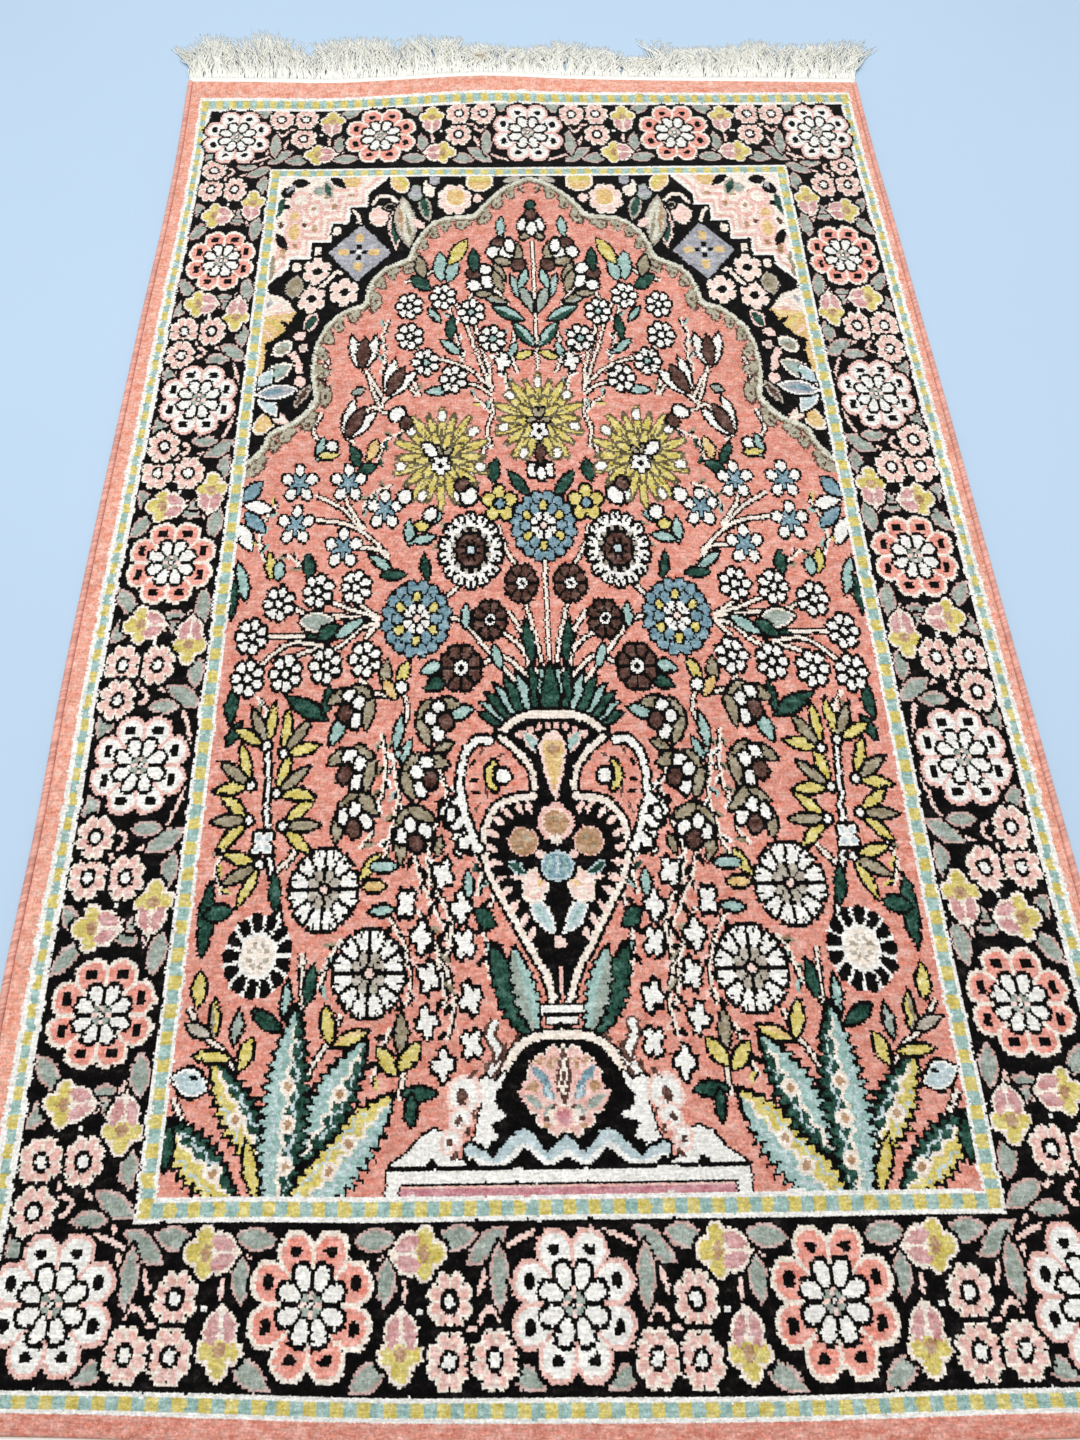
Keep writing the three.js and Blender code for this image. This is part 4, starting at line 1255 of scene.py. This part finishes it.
# Ends: past the knots the warps are woven flat with cream weft for a narrow band, so that the
# knots can't slip off. Beyond it the loose silk warp ends lie on the floor as fringe.
BAND_WIDTH, BAND_THICKNESS, PARTING = 0.011, 0.0016, 0.0003
PAST_CORNER = 0.00628
LOCKS, YARNS, YARN_STEPS = 146, 15, 12
RIDGES, BAND_CORNERS = 6.5, 131
YARN_RADIUS, ROOT_IN_BAND, ROOT_ASIDE = 0.00058, 0.0015, 0.0029
LOCK_BEND, YARN_BEND = 0.010, 0.014
LOCK_HUMP, YARN_HUMP = 0.0016, 0.0014
STAIN_X, STAIN_Y, STAIN_SIZE = -0.0534, 0.697, 0.006
FAR_FRINGE = rows("""
    across reach lean
    0 66 -14; 0.043 94 -20; 0.07 74 -20; 0.12 104 -18; 0.15 84 -14; 0.185 56 -12; 0.21 80 -10
    0.265 92 -8; 0.3 86 -6; 0.315 60 -5; 0.34 82 -4; 0.4 82 -3; 0.413 56 -2; 0.44 66 -1; 0.47 58 0
    0.5 52 0; 0.537 64 2; 0.563 76 3; 0.59 58 4; 0.626 62 4; 0.648 46 4; 0.69 44 5; 0.702 80 6
    0.714 60 8; 0.76 68 9; 0.8 66 10; 0.854 80 12; 0.908 68 15; 0.962 80 20; 1 70 30
""")
NEAR_FRINGE = rows("across reach lean; 0 62 -9; 0.2 72 -6; 0.4 66 -2; 0.6 73 2; 0.8 65 5; 1 70 9")
warp_material, tree = new_material("silk_warp")
shade = add(tree, "ValToRGB", add(tree, "Attribute", out="Fac", attribute_name="tint"))
stops = shade.node.color_ramp.elements
stops[0].color, stops[1].color = (0.40, 0.29, 0.18, 1), (0.975, 0.985, 0.94, 1)
stops.new(0.4).color = (0.86, 0.83, 0.70, 1)
silk_place = add(tree, "TexCoord", out="Object")
fibre = unevenness(tree, silk_place, (2600, 500, 900), 3.0, 0.16)
dyed = scaled(tree, shade, fibre["Factor"])
normal = add(tree, "Bump", {"Strength": 0.6, "Distance": 0.0002, "Height": fibre["Noise"]})
finish_material(tree, Base_Color=dyed, Roughness=0.5, Specular_IOR_Level=0.5, Sheen_Weight=0.7,
                Sheen_Roughness=0.3, Normal=normal)
for end, facing, side, table in (("far", 1, far_side, FAR_FRINGE),
                                 ("near", -1, near_side, NEAR_FRINGE)):
    first, last = side[0, 0] - PAST_CORNER, side[-1, 0] + PAST_CORNER

    def edge(x, side=side, facing=facing):
        """Where the band begins, a little past the cloth's end."""
        return np.interp(x, side[:, 0], side[:, 1]) + facing * PARTING

    # The band: weft rows as low ridges, with a corner every 6 mm across. Its skin goes round under
    # it, and a face closes each end.
    x = np.linspace(first, last, BAND_CORNERS)
    depth = np.r_[0, 0, 0.05, np.arange(0.5, RIDGES, 0.5), RIDGES - 0.05, RIDGES, RIDGES] / RIDGES
    rise = np.r_[0, 0.8, 1, np.tile([0.86, 1], 6), 1, 0.8, 0]
    grid_x = np.tile(x, (len(depth), 1))
    grid_y = edge(grid_x) + facing * depth[:, None] * BAND_WIDTH
    grid_z = np.tile(rise[:, None] * BAND_THICKNESS, (1, len(x)))
    grid_z = grid_z * (1 + 0.06 * spread(rng, grid_z.shape, size=1.5))
    band_points = np.stack([grid_x, grid_y, grid_z], -1).reshape(-1, 3)
    index = np.arange(grid_x.size).reshape(grid_x.shape)
    around_band = np.r_[index, index[:1]]
    band_faces = np.stack([around_band[:-1, :-1], around_band[:-1, 1:],
                           around_band[1:, 1:], around_band[1:, :-1]], -1)
    band_faces = band_faces.reshape(-1, 4)[:, ::facing]
    band_ends = [index[::facing, 0].tolist(), index[::-facing, -1].tolist()]

    # The yarns: three-sided, in locks. A yarn's length, lean, waves and height are its place's
    # in the table, changed a little with its lock and a little for itself.
    count = LOCKS * YARNS
    share = (np.repeat(np.arange(LOCKS), YARNS) + 0.5) / LOCKS
    places = [row["across"] for row in table]
    reach = np.interp(share, places, [row["reach"] for row in table]) / 1000
    lean = np.interp(share, places, [row["lean"] for row in table]) / 1000
    lock = np.repeat(rng.uniform(-1, 1, (LOCKS, 6)), YARNS, axis=0)
    own = rng.uniform(-1, 1, (count, 8))
    length = reach * (0.9 + 0.08 * lock[:, 0] + 0.07 * own[:, 0])
    t = np.linspace(0, 1, YARN_STEPS + 1)
    root_x = first + (last - first) * share + ROOT_ASIDE * own[:, 1]
    bend = lean + LOCK_BEND * lock[:, 1] + YARN_BEND * own[:, 2]
    x = root_x[:, None] + bend[:, None] * t**1.6
    for waves, size, turn in ((0.9, 0.0048, 3), (2.3, 0.0036, 4)):
        phase = 3.1 * lock[:, turn - 1] + 0.9 * own[:, turn]
        amount = size * (0.7 * lock[:, turn] + 0.7 * own[:, turn + 2])
        x = x + amount[:, None] * np.minimum(t * 4, 1) * np.sin(2 * np.pi * waves * t + phase[:, None])
    y = edge(root_x)[:, None] + facing * (BAND_WIDTH - ROOT_IN_BAND + length[:, None] * t)
    base = 0.0012 + 0.0004 * own[:, 6]
    hump = LOCK_HUMP * (1 + lock[:, 5]) + YARN_HUMP * (1 + own[:, 7])
    hump = hump[:, None] * np.sin(np.pi * np.minimum(t * 1.15, 1))
    z = np.maximum(base[:, None] * (1 - t) + YARN_RADIUS * t + hump, YARN_RADIUS)
    along_x, along_y = np.gradient(x, axis=1), np.gradient(y, axis=1)
    size = np.hypot(along_x, along_y)
    side_x, side_y = -along_y / size, along_x / size
    thin = YARN_RADIUS * (1.45 - 0.85 * t)
    angles = np.radians([90, 210, 330])
    ring_points = np.stack([
        x[..., None] + (side_x * thin)[..., None] * np.cos(angles),
        y[..., None] + (side_y * thin)[..., None] * np.cos(angles),
        z[..., None] + thin[:, None] * np.sin(angles) * np.ones((count, 1, 1)),
    ], -1)
    start = len(band_points)
    index = start + np.arange(count * len(t) * 3).reshape(count, len(t), 3)
    after = np.roll(index, -1, 2)
    skin = np.stack([index[:, :-1], after[:, :-1], after[:, 1:], index[:, 1:]], -1).reshape(-1, 4)
    mesh = bpy.data.meshes.new("fringe_silk_" + end)
    yarn_ends = [*index[:, 0, ::-1].tolist(), *index[:, -1].tolist()]
    mesh.from_pydata(np.concatenate([band_points, ring_points.reshape(-1, 3)]), [],
                     [*band_faces.tolist(), *band_ends, *skin.tolist(), *yarn_ends])
    mesh.shade_smooth()
    tints = mesh.attributes.new("tint", "FLOAT", "POINT")

    # The silk differs from yarn to yarn, is palest near the band and tan at one stain.
    yarn_tint = 0.78 + 0.16 * own[:, 3] + 0.06 * lock[:, 2]
    stain = np.exp(-((x - STAIN_X) ** 2 + (y - STAIN_Y) ** 2) / STAIN_SIZE**2)
    yarn_tint = yarn_tint[:, None] + 0.2 * np.exp(-t / 0.1) - 0.9 * stain
    yarn_tint = np.repeat(yarn_tint.ravel(), 3)
    tints.data.foreach_set("value", np.r_[np.full(start, 0.8), yarn_tint].clip(0, 1))
    mesh.materials.append(warp_material)
    fringe = bpy.data.objects.new("fringe_silk_" + end, mesh)
    bpy.context.scene.collection.objects.link(fringe)
    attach(fringe, "root")
    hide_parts("fringe_" + end)


# Floor: pale blue-grey and smooth, with faint clouds. The rug lies on it, and it is only for
# the picture.
material, tree = new_material("floor")
floor_place = add(tree, "TexCoord", out="Object")
clouds = unevenness(tree, floor_place, (3, 3, 3), 4.0, 0.06)["Factor"]
dyed = scaled(tree, (0.455, 0.60, 0.755), clouds)
finish_material(tree, Base_Color=dyed, Roughness=0.6, Specular_IOR_Level=0.3)
bpy.ops.mesh.primitive_plane_add(size=9)
floor = bpy.context.object
floor.name = "floor"
floor.data.materials.append(material)

# Light: an even pale sky, and one broad soft lamp above the rug, left of its middle and towards
# its far end
world = bpy.data.worlds.new("studio")
world.use_nodes = True
sky = world.node_tree.nodes["Background"].inputs
sky["Color"].default_value = (0.97, 0.985, 1.0, 1)
sky["Strength"].default_value = 0.61
bpy.context.scene.world = world
lamp = bpy.data.objects.new("lamp", bpy.data.lights.new("lamp", "AREA"))
bpy.context.scene.collection.objects.link(lamp)
lamp.data.shape = "RECTANGLE"
lamp.data.size, lamp.data.size_y = 2.4, 1.6
lamp.data.energy = 40
lamp.location = (-0.15, 0.45, 2.2)
lamp.rotation_euler = (Vector((0, 0, 0)) - lamp.location).to_track_quat("-Z", "Y").to_euler()
bpy.context.scene.view_settings.view_transform = "Standard"
